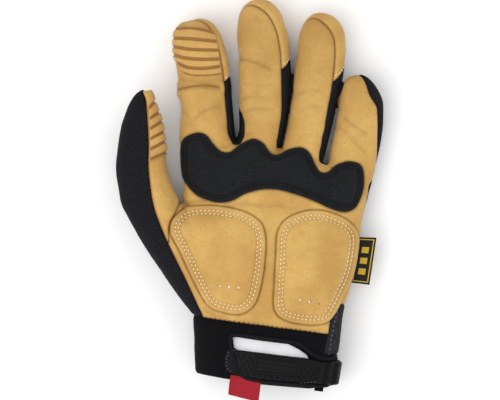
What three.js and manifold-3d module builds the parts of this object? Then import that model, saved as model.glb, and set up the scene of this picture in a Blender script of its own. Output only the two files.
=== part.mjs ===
// A left-hand mechanic's glove, lying on its back with the palm up and the fingers along +Y.
// Millimetres, +Z up. It is worked out in the hand's own frame: the origin is the middle of the
// wrist seam on the resting surface, and the whole is moved to its box's bottom centre at the end.
// A hollow hand form is lofted from the tables of the palm, the digits and the cuff. The leather
// and knit panels are cut out of its wall, and the pads, strap and trim are laid on it.

import * as THREE from "three";
import { mergeVertices } from "three/addons/utils/BufferGeometryUtils.js";
import Module from "manifold-3d";

// Driving sizes of the hand
const handWidth = 114;
const palmLength = 104;
const palmDepth = 42;
const cuffWidth = 84;
const cuffDepth = 46;
const cuffHeight = 31;

// Driving sizes of the walls and what lies on them
const leather = 1.5;
const elastic = 2;
const seam = 0.3;
const flattened = 1.2;
const gussetWidth = 11;
const seamHeight = 15;
const thumbSeamHeight = 8;
const ribGroove = 1.3;
const ribHem = 1;
const thumbRibHem = 0.8;
const labelHem = 3;
const knucklePad = { flange: 1.1, crown: 2, hem: 4.2 };
const heelPad = { flange: 1.4, crown: 3.4, hem: 5 };
const perforation = { radius: 0.75, pitch: 5.2 };
const pipingWidth = 2.2;
const pipingHeight = 2.4;
const strapThickness = 1.8;
const strapBar = { width: 1.8, rise: 1.2, top: 0.2, bottom: 0.9, lean: 0.01 };
const patchRise = 1;
const labelThickness = 1;
const tabThickness = 1.2;
const tabReach = 12;
const cuffTabReach = 1.4;

// Sides of the lofts and of the round outlines
const palmSides = { outside: 20, inside: 14 };
const digitSides = { outside: 12, inside: 8 };
const knucklePoints = 28;
const heelPoints = 20;
const thumbSeamPoints = 24;
const creasePoints = 6;
const pipingPoints = 26;
const holeSides = 8;
const squareness = 2.4;

const wasm = await Module();
wasm.setup();

// Sections of the palm from the wrist to the finger roots. along is a share of palmLength, left
// and right are shares of handWidth from the centre line, thick is a share of palmDepth, and tilt
// is how far the section's right end leans down, in degrees.
const palmRows = [
  { along: 0.14, left: 0.412, right: 0.393, thick: 1.02, tilt: 8.5 },
  { along: 0.4, left: 0.447, right: 0.447, thick: 0.96, tilt: 9.5 },
  { along: 0.55, left: 0.444, right: 0.474, thick: 0.9, tilt: 10 },
  { along: 0.7, left: 0.428, right: 0.495, thick: 0.83, tilt: 11 },
  { along: 0.94, left: 0.448, right: 0.542, thick: 0.69, tilt: 12.5 },
  { along: 1.01, left: 0.42, right: 0.52, thick: 0.5, tilt: 12.7 },
];

// Sections of the cuff from its lower edge to the wrist seam, as shares of the cuff's sizes. The
// first one lies past the edge, so that the pull tab can follow the cuff's form below it.
const cuffRows = [
  { along: -1.6, left: 0.492, right: 0.478, thick: 1, tilt: 7 },
  { along: -1, left: 0.492, right: 0.478, thick: 1, tilt: 7 },
  { along: -0.5, left: 0.496, right: 0.492, thick: 0.99, tilt: 7.5 },
  { along: 0, left: 0.506, right: 0.512, thick: 0.96, tilt: 8.2 },
];

// The digits. root is a share of handWidth across and of palmLength along, lean is in degrees to
// the right, height is the middle's height at the root, and curl is its rise to the tip. rows are
// sections with shares of the length, of the width to each side of the axis and of the depth.
const digits = {
  index: {
    root: [-0.298, 1.054], lean: -4.9, length: 70.7, width: 30.7, depth: 24, height: 12.5, curl: 9,
    rows: [
      { along: -0.25, left: 0.3, right: 0.4, thick: 0.7 },
      { along: 0, left: 0.53, right: 0.53, thick: 1 },
      { along: 0.33, left: 0.44, right: 0.525, thick: 0.98 },
      { along: 0.42, left: 0.49, right: 0.54, thick: 0.97 },
      { along: 0.53, left: 0.44, right: 0.53, thick: 0.97 },
      { along: 0.74, left: 0.49, right: 0.49, thick: 0.94 },
      { along: 0.9, left: 0.44, right: 0.38, thick: 0.77 },
      { along: 1, left: 0.18, right: 0.17, thick: 0.34 },
    ],
    seams: [
      { along: -0.15, roll: 18, height: 0.33 },
      { along: 0.3, roll: 24, height: 0.22 },
      { along: 0.55, roll: 28, height: 0.12 },
      { along: 0.8, roll: 30, height: 0.14 },
      { along: 1.1, roll: 30, height: 0.9 },
    ],
    cap: 0.5,
  },
  middle: {
    root: [-0.041, 1.015], lean: 0.8, length: 85.8, width: 30.2, depth: 24, height: 12.5, curl: 7,
    rows: [
      { along: -0.2, left: 0.3, right: 0.3, thick: 0.7 },
      { along: 0, left: 0.43, right: 0.44, thick: 1 },
      { along: 0.14, left: 0.355, right: 0.495, thick: 0.97 },
      { along: 0.36, left: 0.39, right: 0.545, thick: 1 },
      { along: 0.6, left: 0.39, right: 0.59, thick: 1 },
      { along: 0.75, left: 0.425, right: 0.55, thick: 0.97 },
      { along: 0.86, left: 0.42, right: 0.46, thick: 0.87 },
      { along: 0.93, left: 0.36, right: 0.36, thick: 0.7 },
      { along: 1, left: 0.16, right: 0.15, thick: 0.3 },
    ],
    seams: [
      { along: -0.15, roll: 0, height: 0.68 },
      { along: 0.16, roll: 2, height: 0.66 },
      { along: 0.3, roll: 20, height: 0.36 },
      { along: 0.55, roll: 26, height: 0.3 },
      { along: 0.8, roll: 28, height: 0.4 },
      { along: 1.1, roll: 28, height: 1 },
    ],
    cap: 0.545,
  },
  ring: {
    root: [0.178, 0.97], lean: 8.1, length: 84.1, width: 29.6, depth: 24, height: 12.5, curl: 7,
    rows: [
      { along: -0.2, left: 0.3, right: 0.3, thick: 0.7 },
      { along: 0, left: 0.42, right: 0.44, thick: 1 },
      { along: 0.3, left: 0.352, right: 0.535, thick: 0.98 },
      { along: 0.6, left: 0.368, right: 0.6, thick: 1 },
      { along: 0.76, left: 0.377, right: 0.57, thick: 0.96 },
      { along: 0.86, left: 0.355, right: 0.48, thick: 0.86 },
      { along: 0.93, left: 0.31, right: 0.37, thick: 0.7 },
      { along: 1, left: 0.15, right: 0.15, thick: 0.3 },
    ],
    seams: [
      { along: -0.15, roll: 18, height: 0.36 },
      { along: 0.5, roll: 27, height: 0.31 },
      { along: 0.8, roll: 28, height: 0.38 },
      { along: 1.1, roll: 28, height: 1 },
    ],
    cap: 0.54,
  },
  little: {
    root: [0.427, 0.859], lean: 3.7, length: 59, width: 26.1, depth: 22, height: 11.5, curl: 8,
    rows: [
      { along: -0.3, left: 0.3, right: 0.34, thick: 0.7 },
      { along: 0, left: 0.52, right: 0.52, thick: 1 },
      { along: 0.24, left: 0.465, right: 0.6, thick: 1 },
      { along: 0.48, left: 0.385, right: 0.65, thick: 1 },
      { along: 0.64, left: 0.345, right: 0.641, thick: 0.98 },
      { along: 0.76, left: 0.335, right: 0.595, thick: 0.94 },
      { along: 0.86, left: 0.305, right: 0.48, thick: 0.8 },
      { along: 0.94, left: 0.22, right: 0.31, thick: 0.56 },
      { along: 1, left: 0.08, right: 0.09, thick: 0.2 },
    ],
    seams: [
      { along: -0.3, roll: 0, height: 0.1 },
      { along: 0, roll: 0, height: -0.05 },
      { along: 0.36, roll: 17, height: 0.13 },
      { along: 0.66, roll: 22, height: 0.2 },
      { along: 0.8, roll: 25, height: 0.45 },
      { along: 1.1, roll: 26, height: 0.9 },
    ],
  },
  thumb: {
    root: [-0.458, 0.379], lean: -10.6, length: 101.2, width: 29.6, depth: 28, height: 20, curl: 12,
    rows: [
      { along: -0.32, left: -0.15, right: 1, thick: 1.1 },
      { along: -0.05, left: 0.282, right: 0.655, thick: 1.25 },
      { along: 0.132, left: 0.544, right: 0.532, thick: 1.2 },
      { along: 0.293, left: 0.739, right: 0.356, thick: 1.12 },
      { along: 0.413, left: 0.83, right: 0.22, thick: 1.05 },
      { along: 0.554, left: 0.814, right: 0.165, thick: 1 },
      { along: 0.7, left: 0.69, right: 0.218, thick: 0.93 },
      { along: 0.821, left: 0.519, right: 0.228, thick: 0.8 },
      { along: 0.93, left: 0.3, right: 0.175, thick: 0.55 },
      { along: 1, left: 0.05, right: 0.08, thick: 0.2 },
    ],
  },
};

// Outlines seen from above, as shares of handWidth across and palmLength along
const fingerGaps = [
  [[-0.17, 1.03], [-0.148, 1.127], [-0.155, 1.255], [-0.16, 1.394], [-0.178, 1.617], [-0.193, 1.93]],
  [[0.074, 1.012], [0.102, 1.149], [0.114, 1.238], [0.126, 1.327], [0.136, 1.478], [0.13, 1.93]],
  [[0.3, 0.908], [0.331, 1.06], [0.359, 1.199], [0.3687, 1.294], [0.396, 1.394], [0.45, 1.6]],
];
const rootLeft = [-0.56, 1.07];
const rootRight = [0.66, 0.86];
const thumbSeam = [
  [-0.622, 1.45], [-0.6, 1.227], [-0.59, 1.049], [-0.591, 0.892], [-0.57, 0.708],
  [-0.534, 0.586], [-0.478, 0.446], [-0.415, 0.303], [-0.364, 0.178], [-0.3, 0.02],
];
const thumbCrease = [[-0.431, 0.723], [-0.455, 0.653], [-0.486, 0.58], [-0.492, 0.49]];
const gapTop = [-0.47, 1.5];
const sideGusset = [
  [0.5, 0.15], [0.374, 0.145], [0.341, 0.106], [0.328, 0.056], [0.317, -0.017], [0.3, -0.08],
  [0.294, -0.128], [0.5, -0.16],
];
const knuckleOutline = [
  [-0.432, 0.948], [-0.43, 1.032], [-0.407, 1.076], [-0.346, 1.099], [-0.3, 1.082],
  [-0.265, 1.032], [-0.224, 0.993], [-0.178, 0.993], [-0.132, 1.032], [-0.068, 1.065],
  [-0.015, 1.04], [0.02, 0.987], [0.061, 0.976], [0.117, 1.007], [0.178, 1.017],
  [0.221, 0.986], [0.249, 0.92], [0.275, 0.88], [0.315, 0.881], [0.361, 0.922],
  [0.427, 0.94], [0.483, 0.915], [0.497, 0.831], [0.483, 0.747], [0.448, 0.678],
  [0.392, 0.659], [0.326, 0.678], [0.244, 0.719], [0.153, 0.756], [0.061, 0.782],
  [-0.02, 0.784], [-0.102, 0.761], [-0.173, 0.722], [-0.234, 0.711], [-0.295, 0.724],
  [-0.356, 0.756], [-0.407, 0.82], [-0.43, 0.887],
];
const thenarOutline = [
  [-0.484, 0.577], [-0.466, 0.627], [-0.404, 0.682], [-0.305, 0.695], [-0.214, 0.687],
  [-0.112, 0.661], [-0.031, 0.605], [-0.004, 0.522], [-0.005, 0.413], [-0.02, 0.279],
  [-0.054, 0.156], [-0.122, 0.097], [-0.214, 0.104], [-0.295, 0.147], [-0.371, 0.29],
  [-0.438, 0.446], [-0.476, 0.524],
];
const hypothenarOutline = [
  [0.038, 0.139], [0.041, 0.257], [0.049, 0.413], [0.056, 0.535], [0.092, 0.611],
  [0.168, 0.655], [0.256, 0.669], [0.346, 0.648], [0.427, 0.598], [0.466, 0.524],
  [0.46, 0.413], [0.435, 0.296], [0.392, 0.195], [0.346, 0.095], [0.3, 0.045],
  [0.224, 0.035], [0.127, 0.05], [0.066, 0.081],
];
const thenarHoles = { middle: [-0.183, 0.243], lean: 2 };
const hypothenarHoles = { middle: [0.215, 0.16], lean: 11 };
const labelOutline = [[0.44, 0.52], [0.562, 0.515], [0.526, 0.252], [0.4, 0.268]];

// Outlines on the cuff, as shares of cuffWidth to the right and cuffHeight down from the wrist
// seam, in a frame that leans with the cuff
const cuffLean = 7.5;
const wristLine = -0.05;
const cuffEdge = [[-1, 0.95], [-0.448, 0.952], [0.006, 0.985], [0.345, 0.945], [0.6, 0.79]];
const pipingRoute = [
  [0.5, 0.27], [0.46, 0.35], [0.408, 0.375], [0.336, 0.314], [0.268, 0.206], [0.187, 0.131],
  [-0.035, 0.135], [-0.175, 0.134], [-0.232, 0.18], [-0.223, 0.362], [-0.192, 0.559],
  [-0.159, 0.774], [-0.118, 0.872], [-0.053, 0.92], [0.073, 0.923], [0.281, 0.9], [0.55, 0.845],
];
const windowOutline = [
  [-0.2, 0.18], [-0.031, 0.185], [0.161, 0.185], [0.231, 0.255], [0.332, 0.391], [-0.193, 0.405],
];
const strapOutline = [
  [-0.193, 0.42], [-0.022, 0.414], [0.332, 0.406], [0.4, 0.42], [0.47, 0.4], [0.7, 0.2],
  [0.7, 0.8], [0.492, 0.84], [0.071, 0.89], [-0.069, 0.89], [-0.134, 0.84],
];
const endOutline = [
  [-0.22, 0.385], [-0.246, 0.4], [-0.258, 0.62], [-0.236, 0.81], [-0.19, 0.87], [-0.12, 0.87],
  [-0.159, 0.774], [-0.192, 0.559],
];
const patchOutline = [[-0.051, 0.45], [0.258, 0.44], [0.255, 0.76], [-0.053, 0.79]];
const barPlaces = [0.4, 0.45, 0.5];
const pullTab = { left: -0.197, right: 0.009, top: 0.955 };
const cuffTab = { left: 0.384, right: 0.446, top: 0.6 };

// Points of an outline in millimetres, and the same smoothed into a closed curve
const onHand = ([across, along]) => new THREE.Vector2(across * handWidth, along * palmLength);

function onCuff([across, down]) {
  const lean = THREE.MathUtils.degToRad(cuffLean);
  const right = across * cuffWidth;
  const fall = down * cuffHeight;
  return new THREE.Vector2(
    right * Math.cos(lean) - fall * Math.sin(lean),
    -right * Math.sin(lean) - fall * Math.cos(lean),
  );
}

function smoothed(points, closed, count) {
  const raised = points.map((point) => new THREE.Vector3(point.x, point.y, 0));
  const curve = new THREE.CatmullRomCurve3(raised, closed, "centripetal");
  const spaced = curve.getSpacedPoints(count);
  if (closed) {
    spaced.pop();
  }
  return spaced.map((point) => new THREE.Vector2(point.x, point.y));
}

// A closed outline moved inward by a distance, or outward where the distance is negative
function inset(points, distance) {
  const turn = THREE.ShapeUtils.isClockWise(points) ? -1 : 1;
  return points.map((point, i) => {
    const before = points[(i + points.length - 1) % points.length];
    const after = points[(i + 1) % points.length];
    const along = after.clone().sub(before).normalize();
    return new THREE.Vector2(
      point.x - along.y * distance * turn,
      point.y + along.x * distance * turn,
    );
  });
}

// A band of a given width along an open route
function band(points, width) {
  const side = (sign) => points.map((point, i) => {
    const before = points[Math.max(i - 1, 0)];
    const after = points[Math.min(i + 1, points.length - 1)];
    const along = after.clone().sub(before).normalize();
    return new THREE.Vector2(
      point.x - along.y * sign * width / 2,
      point.y + along.x * sign * width / 2,
    );
  });
  return [...side(1), ...side(-1).reverse()];
}

// Solids for cutting and joining
function solid(geometry) {
  geometry.deleteAttribute("normal");
  geometry.deleteAttribute("uv");
  const merged = mergeVertices(geometry, 1e-5);
  return new wasm.Manifold(new wasm.Mesh({
    numProp: 3,
    vertProperties: merged.attributes.position.array,
    triVerts: new Uint32Array(merged.index.array),
  }));
}

function joined(parts) {
  return parts.reduce((whole, part) => whole.add(part));
}

function prism(points, low, high) {
  const shape = new THREE.Shape(points);
  const geometry = new THREE.ExtrudeGeometry(shape, { depth: high - low, bevelEnabled: false });
  return solid(geometry.translate(0, 0, low));
}

// Heights and lengths that clear the whole glove, and shares that clear it
const roof = 90;
const deep = -10;
const far = 300;
const beyondTips = 2;
const beyondCuff = 8;

// A tube through stations that have a centre, a tilt and half sizes, closed at both ends
function loft(stations, sides) {
  const last = stations.length - 1;
  const geometry = new THREE.CylinderGeometry(1, 1, 1, sides, last);
  const position = geometry.attributes.position;
  for (let i = 0; i < position.count; i += 1) {
    const station = stations[Math.round((0.5 + position.getY(i)) * last)];
    const tilt = THREE.MathUtils.degToRad(station.tilt);
    const x = position.getX(i);
    const z = position.getZ(i);
    const out = Math.sign(x) * Math.abs(x) ** (2 / squareness) * station.halfWidth;
    const up = Math.sign(z) * Math.abs(z) ** (2 / squareness) * station.halfDepth;
    position.setXYZ(
      i,
      station.x + out * Math.cos(tilt),
      station.y - out * Math.sin(tilt),
      station.z + up,
    );
  }
  return solid(geometry);
}

// The stations of the palm with the cuff, and of a digit, grown outward by a distance
function bodyStation(row, width, length, depth, grow) {
  const tilt = THREE.MathUtils.degToRad(row.tilt);
  const middle = (row.right - row.left) / 2 * width;
  const halfDepth = row.thick * depth / 2;
  return {
    x: middle * Math.cos(tilt),
    y: row.along * length - middle * Math.sin(tilt) + Math.max(row.along, 0) * grow,
    z: halfDepth - flattened,
    tilt: row.tilt,
    halfWidth: (row.left + row.right) / 2 * width + grow,
    halfDepth: halfDepth + grow,
  };
}

function bodyLoft(grow) {
  const cuff = cuffRows.map((row) => bodyStation(row, cuffWidth, cuffHeight, cuffDepth, grow));
  const palm = palmRows.map((row) => bodyStation(row, handWidth, palmLength, palmDepth, grow));
  return loft([...cuff, ...palm], palmSides[grow < 0 ? "inside" : "outside"]);
}

// A point on a digit's axis, with the directions to its right and along it
function axisPoint(digit, along, grow = 0) {
  const lean = THREE.MathUtils.degToRad(digit.lean);
  const reach = along * (digit.length + grow);
  return {
    x: digit.root[0] * handWidth + reach * Math.sin(lean),
    y: digit.root[1] * palmLength + reach * Math.cos(lean),
    z: digit.height + digit.curl * Math.max(along, 0) ** 2,
    right: new THREE.Vector3(Math.cos(lean), -Math.sin(lean), 0),
  };
}

function digitLoft(digit, grow) {
  return loft(digit.rows.map((row) => {
    const point = axisPoint(digit, row.along, grow);
    const middle = (row.right - row.left) / 2 * digit.width;
    return {
      x: point.x + middle * point.right.x,
      y: point.y + middle * point.right.y,
      z: point.z,
      tilt: digit.lean,
      halfWidth: (row.left + row.right) / 2 * digit.width + grow,
      halfDepth: row.thick * digit.depth / 2 + grow,
    };
  }), digitSides[grow < 0 ? "inside" : "outside"]);
}

// The whole hand form, grown outward by a distance and flat where it rests
function handForm(grow) {
  const lofts = Object.values(digits).map((digit) => digitLoft(digit, grow));
  const below = new THREE.BoxGeometry(2 * far, 2 * far, far);
  below.translate(0, 0, -grow - far / 2);
  return joined([bodyLoft(grow), ...lofts]).subtract(solid(below));
}

const outerForm = handForm(0);
const leatherShell = outerForm.subtract(handForm(-leather));
const elasticShell = outerForm.subtract(bodyLoft(-elastic).intersect(handForm(-elastic)));
const laidForm = handForm(seam);

// What lies on the hand form between two heights
function overlay(height) {
  return handForm(seam + height).subtract(laidForm);
}

// Everything above the front seam surface of a digit, or below its back seam surface. Each is a
// block whose inner face follows the rows of seams, moved by grow towards the digit's middle.
function seamBlock(digit, side, grow) {
  const last = digit.seams.length - 1;
  const geometry = new THREE.BoxGeometry(1, 1, 1, 1, last, 1);
  const position = geometry.attributes.position;
  const halfWidth = digit.width;
  const offset = side > 0 ? 0 : gussetWidth;
  for (let i = 0; i < position.count; i += 1) {
    const row = digit.seams[Math.round((0.5 + position.getY(i)) * last)];
    const point = axisPoint(digit, row.along);
    const roll = THREE.MathUtils.degToRad(row.roll);
    const level = row.height * digit.depth / 2;
    const across = position.getX(i) * 2 * halfWidth;
    const outward = (position.getZ(i) + side * 0.5) * roof - side * grow - offset;
    const sideways = across * Math.cos(roll) - outward * Math.sin(roll);
    position.setXYZ(
      i,
      point.x + sideways * point.right.x,
      point.y + sideways * point.right.y,
      point.z + level + across * Math.sin(roll) + outward * Math.cos(roll),
    );
  }
  return solid(geometry);
}

// The zone of each finger seen from above, and its two halves to the left and right of the axis
const fingerNames = ["index", "middle", "ring", "little"];
const tipReach = 1.3;
const feet = { zone: -0.04, palm: -0.035 };

function halfZone(i, side) {
  const digit = digits[fingerNames[i]];
  const gap = fingerGaps[side < 0 ? i - 1 : i];
  const outer = side < 0 ? rootLeft : rootRight;
  const edge = gap ? gap.map(onHand) : [onHand(outer), onHand([outer[0], beyondTips])];
  const tip = axisPoint(digit, tipReach);
  const foot = axisPoint(digit, feet.zone);
  const points = [new THREE.Vector2(foot.x, foot.y), ...edge, new THREE.Vector2(tip.x, tip.y)];
  return prism(points, deep, roof);
}

function fingerZone(i) {
  return halfZone(i, -1).add(halfZone(i, 1));
}

// The fronts of the four fingers and of the palm, the leather's whole side of the seams
const seamPoints = smoothed(thumbSeam.map(onHand), false, thumbSeamPoints);
const wristPoint = (across) => onCuff([across, wristLine]);

function palmArea(grow) {
  const roots = [onHand(rootLeft)];
  fingerNames.forEach((name, i) => {
    const foot = axisPoint(digits[name], feet.palm);
    roots.push(new THREE.Vector2(foot.x, foot.y));
    if (i < fingerGaps.length) {
      roots.push(onHand(fingerGaps[i][0]));
    }
  });
  roots.push(onHand(rootRight));
  roots.reverse();
  const points = [wristPoint(2), new THREE.Vector2(far, roots[0].y), ...roots, wristPoint(-2)];
  return prism(points, seamHeight - grow, roof);
}

function fingerFront(i, grow) {
  return fingerZone(i).intersect(seamBlock(digits[fingerNames[i]], 1, grow));
}

function frontRegion(grow) {
  return joined([palmArea(grow), ...fingerNames.map((_, i) => fingerFront(i, grow))]);
}

// The band between the front and the back of a finger, on one side of it
function sideBand(i, side, grow) {
  const digit = digits[fingerNames[i]];
  return halfZone(i, side)
    .subtract(seamBlock(digit, 1, -grow))
    .subtract(seamBlock(digit, -1, -grow));
}

// The web at the foot of a gap joins the two sides of its gusset
const web = { low: 5, high: 20, width: 3, reach: 0.4 };

function gussetRegion(i, grow) {
  const [foot, next] = fingerGaps[i].map(onHand);
  const start = foot.clone().lerp(next, -web.reach / 2);
  const end = foot.clone().lerp(next, web.reach);
  const strip = band([start, end], web.width + 2 * grow);
  const joint = prism(strip, web.low - grow, web.high + grow);
  return joined([sideBand(i, 1, grow), sideBand(i + 1, -1, grow), joint]);
}

// What lies beyond the cap line of a finger. The line leans over the finger's side.
const capPitch = 25;

function beyondCap(digit, grow) {
  const point = axisPoint(digit, digit.cap);
  const box = new THREE.BoxGeometry(2 * digit.width, far, far);
  box.translate(0, far / 2 - grow, 0);
  box.rotateX(-THREE.MathUtils.degToRad(capPitch));
  box.rotateZ(-THREE.MathUtils.degToRad(digit.lean));
  return solid(box.translate(point.x, point.y, point.z + digit.depth / 4));
}

function capRegion(i, grow) {
  const digit = digits[fingerNames[i]];
  return fingerZone(i)
    .intersect(beyondCap(digit, grow))
    .subtract(seamBlock(digit, 1, -grow));
}

// The sides of the thumb's seam, of the crease at its root and of the wrist seam
function leftOfSeam(grow) {
  const points = seamPoints.map((point) => new THREE.Vector2(point.x + grow, point.y));
  const bottom = points[points.length - 1];
  const outline = [...points, new THREE.Vector2(bottom.x, -far), new THREE.Vector2(-far, -far),
    new THREE.Vector2(-far, points[0].y)];
  return prism(outline, deep, roof);
}

function thumbArea(grow) {
  const crease = smoothed(thumbCrease.map(onHand), false, creasePoints)
    .map((point) => new THREE.Vector2(point.x + grow, point.y - grow));
  const low = crease[crease.length - 1];
  const points = [new THREE.Vector2(-far, low.y), ...crease.reverse(),
    onHand(gapTop), new THREE.Vector2(-far, onHand(gapTop).y)];
  return prism(points, thumbSeamHeight - grow, roof);
}

function aboveWrist(grow) {
  return prism([wristPoint(-2), wristPoint(2), wristPoint(2).setY(far), wristPoint(-2).setY(far)]
    .map((point, i) => (i < 2 ? point.clone().setY(point.y - grow) : point)), deep, roof);
}

function belowWrist(grow) {
  return prism([wristPoint(-2), wristPoint(2), wristPoint(2).setY(-far), wristPoint(-2).setY(-far)]
    .map((point, i) => (i < 2 ? point.clone().setY(point.y + grow) : point)), deep, roof);
}

const aboveEdge = prism(
  [...cuffEdge.map(onCuff), onCuff([1, -beyondCuff]), onCuff([-1, -beyondCuff])],
  deep,
  roof,
);

const sideGussetDrop = 5;
const sideGussetArea = (grow) => prism(inset(sideGusset.map(onHand), -grow),
  seamHeight - sideGussetDrop - grow, roof);

// Raised ribs across a digit: a row of slabs through a layer that lies on the form. first is the
// share of its length where they start, lean is how much more they lean than the digit, in degrees,
// and side moves them to the right of its axis.
const indexRibs = { first: 0.57, count: 5, pitch: 5.1, height: 1.2, lean: 2, side: 0 };
const thumbRibs = { first: 0.55, count: 6, pitch: 5.9, height: 1, lean: -30, side: 1 };

function ribRow(digit, { first, count, pitch, height, lean, side }) {
  const point = axisPoint(digit, first);
  const along = THREE.MathUtils.degToRad(digit.lean);
  const slabs = [];
  for (let i = 0; i < count; i += 1) {
    const box = new THREE.BoxGeometry(digit.width * 2, pitch - ribGroove, roof);
    box.translate(side * digit.width, 0, point.z);
    box.rotateZ(-THREE.MathUtils.degToRad(digit.lean + lean));
    box.translate(point.x + i * pitch * Math.sin(along), point.y + i * pitch * Math.cos(along), 0);
    slabs.push(solid(box));
  }
  return handForm(height).subtract(handForm(-leather / 2)).intersect(joined(slabs));
}

const indexRibRow = ribRow(digits.index, indexRibs)
  .intersect(fingerZone(0))
  .intersect(seamBlock(digits.index, 1, -ribHem));
const thumbRibRow = ribRow(digits.thumb, thumbRibs)
  .intersect(thumbArea(-ribHem))
  .subtract(leftOfSeam(thumbRibHem));

// Panels cut out of the form's wall
const gussets = [0, 1, 2].map((i) => gussetRegion(i, 0));
const grownGussets = [0, 1, 2].map((i) => gussetRegion(i, seam));
const caps = [0, 1, 2].map((i) => capRegion(i, 0));
const grownCaps = [0, 1, 2].map((i) => capRegion(i, seam));
const without = (whole, cutters) => cutters.reduce((rest, cutter) => rest.subtract(cutter), whole);

const handShell = leatherShell.intersect(aboveWrist(-seam));
const sideGussetWall = leatherShell.intersect(sideGussetArea(0)).intersect(aboveEdge);
const shellRest = handShell.subtract(sideGussetArea(seam));
const palmPanel = without(
  shellRest.intersect(frontRegion(0)),
  [leftOfSeam(seam), thumbArea(seam), ...grownGussets, ...grownCaps],
).add(indexRibRow);
const thumbBack = shellRest.intersect(leftOfSeam(0));
const thumbFront = shellRest.intersect(thumbArea(0)).subtract(leftOfSeam(seam)).add(thumbRibRow);
const backPanel = without(
  shellRest,
  [leftOfSeam(seam), thumbArea(seam), frontRegion(seam), ...grownGussets, ...grownCaps],
);
const gussetWalls = gussets.map((region, i) => without(
  handShell.intersect(region),
  [grownCaps[i], ...(i < 2 ? [grownCaps[i + 1]] : [])],
));
const capWalls = caps.map((region) => handShell.intersect(region));

// A pad: a thin flange that is sewn down and a raised crown inside its hem
const padFloor = palmDepth / 2;

function pad(outline, { flange, crown, hem }, count) {
  const edge = smoothed(outline.map(onHand), true, count);
  const sewn = overlay(flange).intersect(prism(edge, padFloor, roof));
  const crownEdge = inset(edge, hem).filter((_, i) => i % 2 === 0);
  return sewn.add(overlay(crown).intersect(prism(crownEdge, padFloor, roof)));
}

function perforations({ middle, lean }, count) {
  const centre = onHand(middle);
  const turn = THREE.MathUtils.degToRad(lean);
  const holes = [];
  for (let i = 0; i < count; i += 1) {
    const step = (i - (count - 1) / 2) * perforation.pitch;
    const hole = new THREE.CylinderGeometry(perforation.radius, perforation.radius, roof, holeSides);
    hole.rotateX(Math.PI / 2);
    hole.translate(centre.x + step * Math.cos(turn), centre.y - step * Math.sin(turn), roof / 2);
    holes.push(solid(hole));
  }
  return joined(holes);
}

const knuckleCover = pad(knuckleOutline, knucklePad, knucklePoints);
const thenarPad = pad(thenarOutline, heelPad, heelPoints)
  .subtract(perforations(thenarHoles, 3));
const hypothenarPad = pad(hypothenarOutline, heelPad, heelPoints)
  .subtract(perforations(hypothenarHoles, 4));

// The cuff with its slit, the binding round it and the strap across it
const cuffTop = cuffDepth * 0.45;
const cuffArea = (points, grow = 0) => prism(
  grow === 0 ? points.map(onCuff) : inset(points.map(onCuff), -grow),
  cuffTop,
  roof,
);
const strapFloor = cuffDepth * 0.2;
const pipingArea = (width) => prism(
  band(smoothed(pipingRoute.map(onCuff), false, pipingPoints), width),
  cuffTop,
  roof,
);
const cuffBand = without(
  elasticShell.intersect(belowWrist(-seam)).intersect(aboveEdge),
  [cuffArea(windowOutline), sideGussetArea(seam)],
);
const openingPiping = overlay(pipingHeight).intersect(pipingArea(pipingWidth));
const pipingClear = pipingArea(pipingWidth + 2 * seam);
const strapArea = prism(strapOutline.map(onCuff), strapFloor, roof).intersect(aboveEdge);
const strapBody = overlay(strapThickness).intersect(strapArea);
const barLine = (place) => [
  onCuff([place, strapBar.top]),
  onCuff([place - strapBar.lean, strapBar.bottom]),
];
const bars = joined(barPlaces.map((place) => overlay(strapThickness + strapBar.rise)
  .intersect(strapArea)
  .intersect(prism(band(barLine(place), strapBar.width), strapFloor, roof))));
const wristStrap = strapBody.add(bars).subtract(pipingClear);
const strapPatch = handForm(2 * seam + strapThickness + patchRise)
  .subtract(handForm(2 * seam + strapThickness))
  .intersect(cuffArea(patchOutline));
const strapEnd = overlay(strapThickness).intersect(cuffArea(endOutline)).subtract(pipingClear)
  .subtract(strapArea);
const innerLabel = handForm(-elastic - seam)
  .subtract(handForm(-elastic - seam - labelThickness))
  .intersect(cuffArea(windowOutline, labelHem));

// A folded loop over the cuff's edge, and a short flat end below it
const outside = handForm(seam + tabThickness);
const inside = handForm(-elastic - seam);
const insideDeep = handForm(-elastic - seam - tabThickness);

function tabOutline(tab, top, bottom) {
  const corner = (across, down) => onCuff([across, tab.top])
    .add(onCuff([0, 1]).normalize().multiplyScalar(down));
  return [corner(tab.left, top), corner(tab.right, top), corner(tab.right, bottom),
    corner(tab.left, bottom)];
}

const tabLayers = outside.subtract(laidForm).subtract(pipingClear)
  .add(inside.subtract(insideDeep));
const tabFold = outside.subtract(insideDeep);
const pullTabLoop = tabLayers.intersect(prism(tabOutline(pullTab, 0, tabReach), cuffTop, roof))
  .add(tabFold.intersect(prism(
    tabOutline(pullTab, tabReach - tabThickness, tabReach),
    cuffTop,
    roof,
  )));
const cuffTabPlate = inside.subtract(insideDeep).intersect(
  prism(tabOutline(cuffTab, 0, (1 - cuffTab.top) * cuffHeight + cuffTabReach), cuffTop, roof),
);
const sideLabel = prism(labelOutline.map(onHand), seamHeight, seamHeight + labelThickness)
  .subtract(laidForm);

// The finishes
const finishes = {
  tan: { color: 0xd2aa67, roughness: 0.75, metalness: 0 },
  knit: { color: 0x1e1e21, roughness: 0.95, metalness: 0 },
  lycra: { color: 0x2a2c33, roughness: 0.45, metalness: 0 },
  suede: { color: 0x26282b, roughness: 0.95, metalness: 0 },
  elastic: { color: 0x19191b, roughness: 0.9, metalness: 0 },
  gusset: { color: 0x413e46, roughness: 0.8, metalness: 0 },
  rubber: { color: 0x2d2c30, roughness: 0.6, metalness: 0 },
  red: { color: 0xb22a37, roughness: 0.7, metalness: 0 },
  label: { color: 0x1b1a16, roughness: 0.7, metalness: 0 },
  lining: { color: 0xf1f1f3, roughness: 0.8, metalness: 0 },
};

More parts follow.
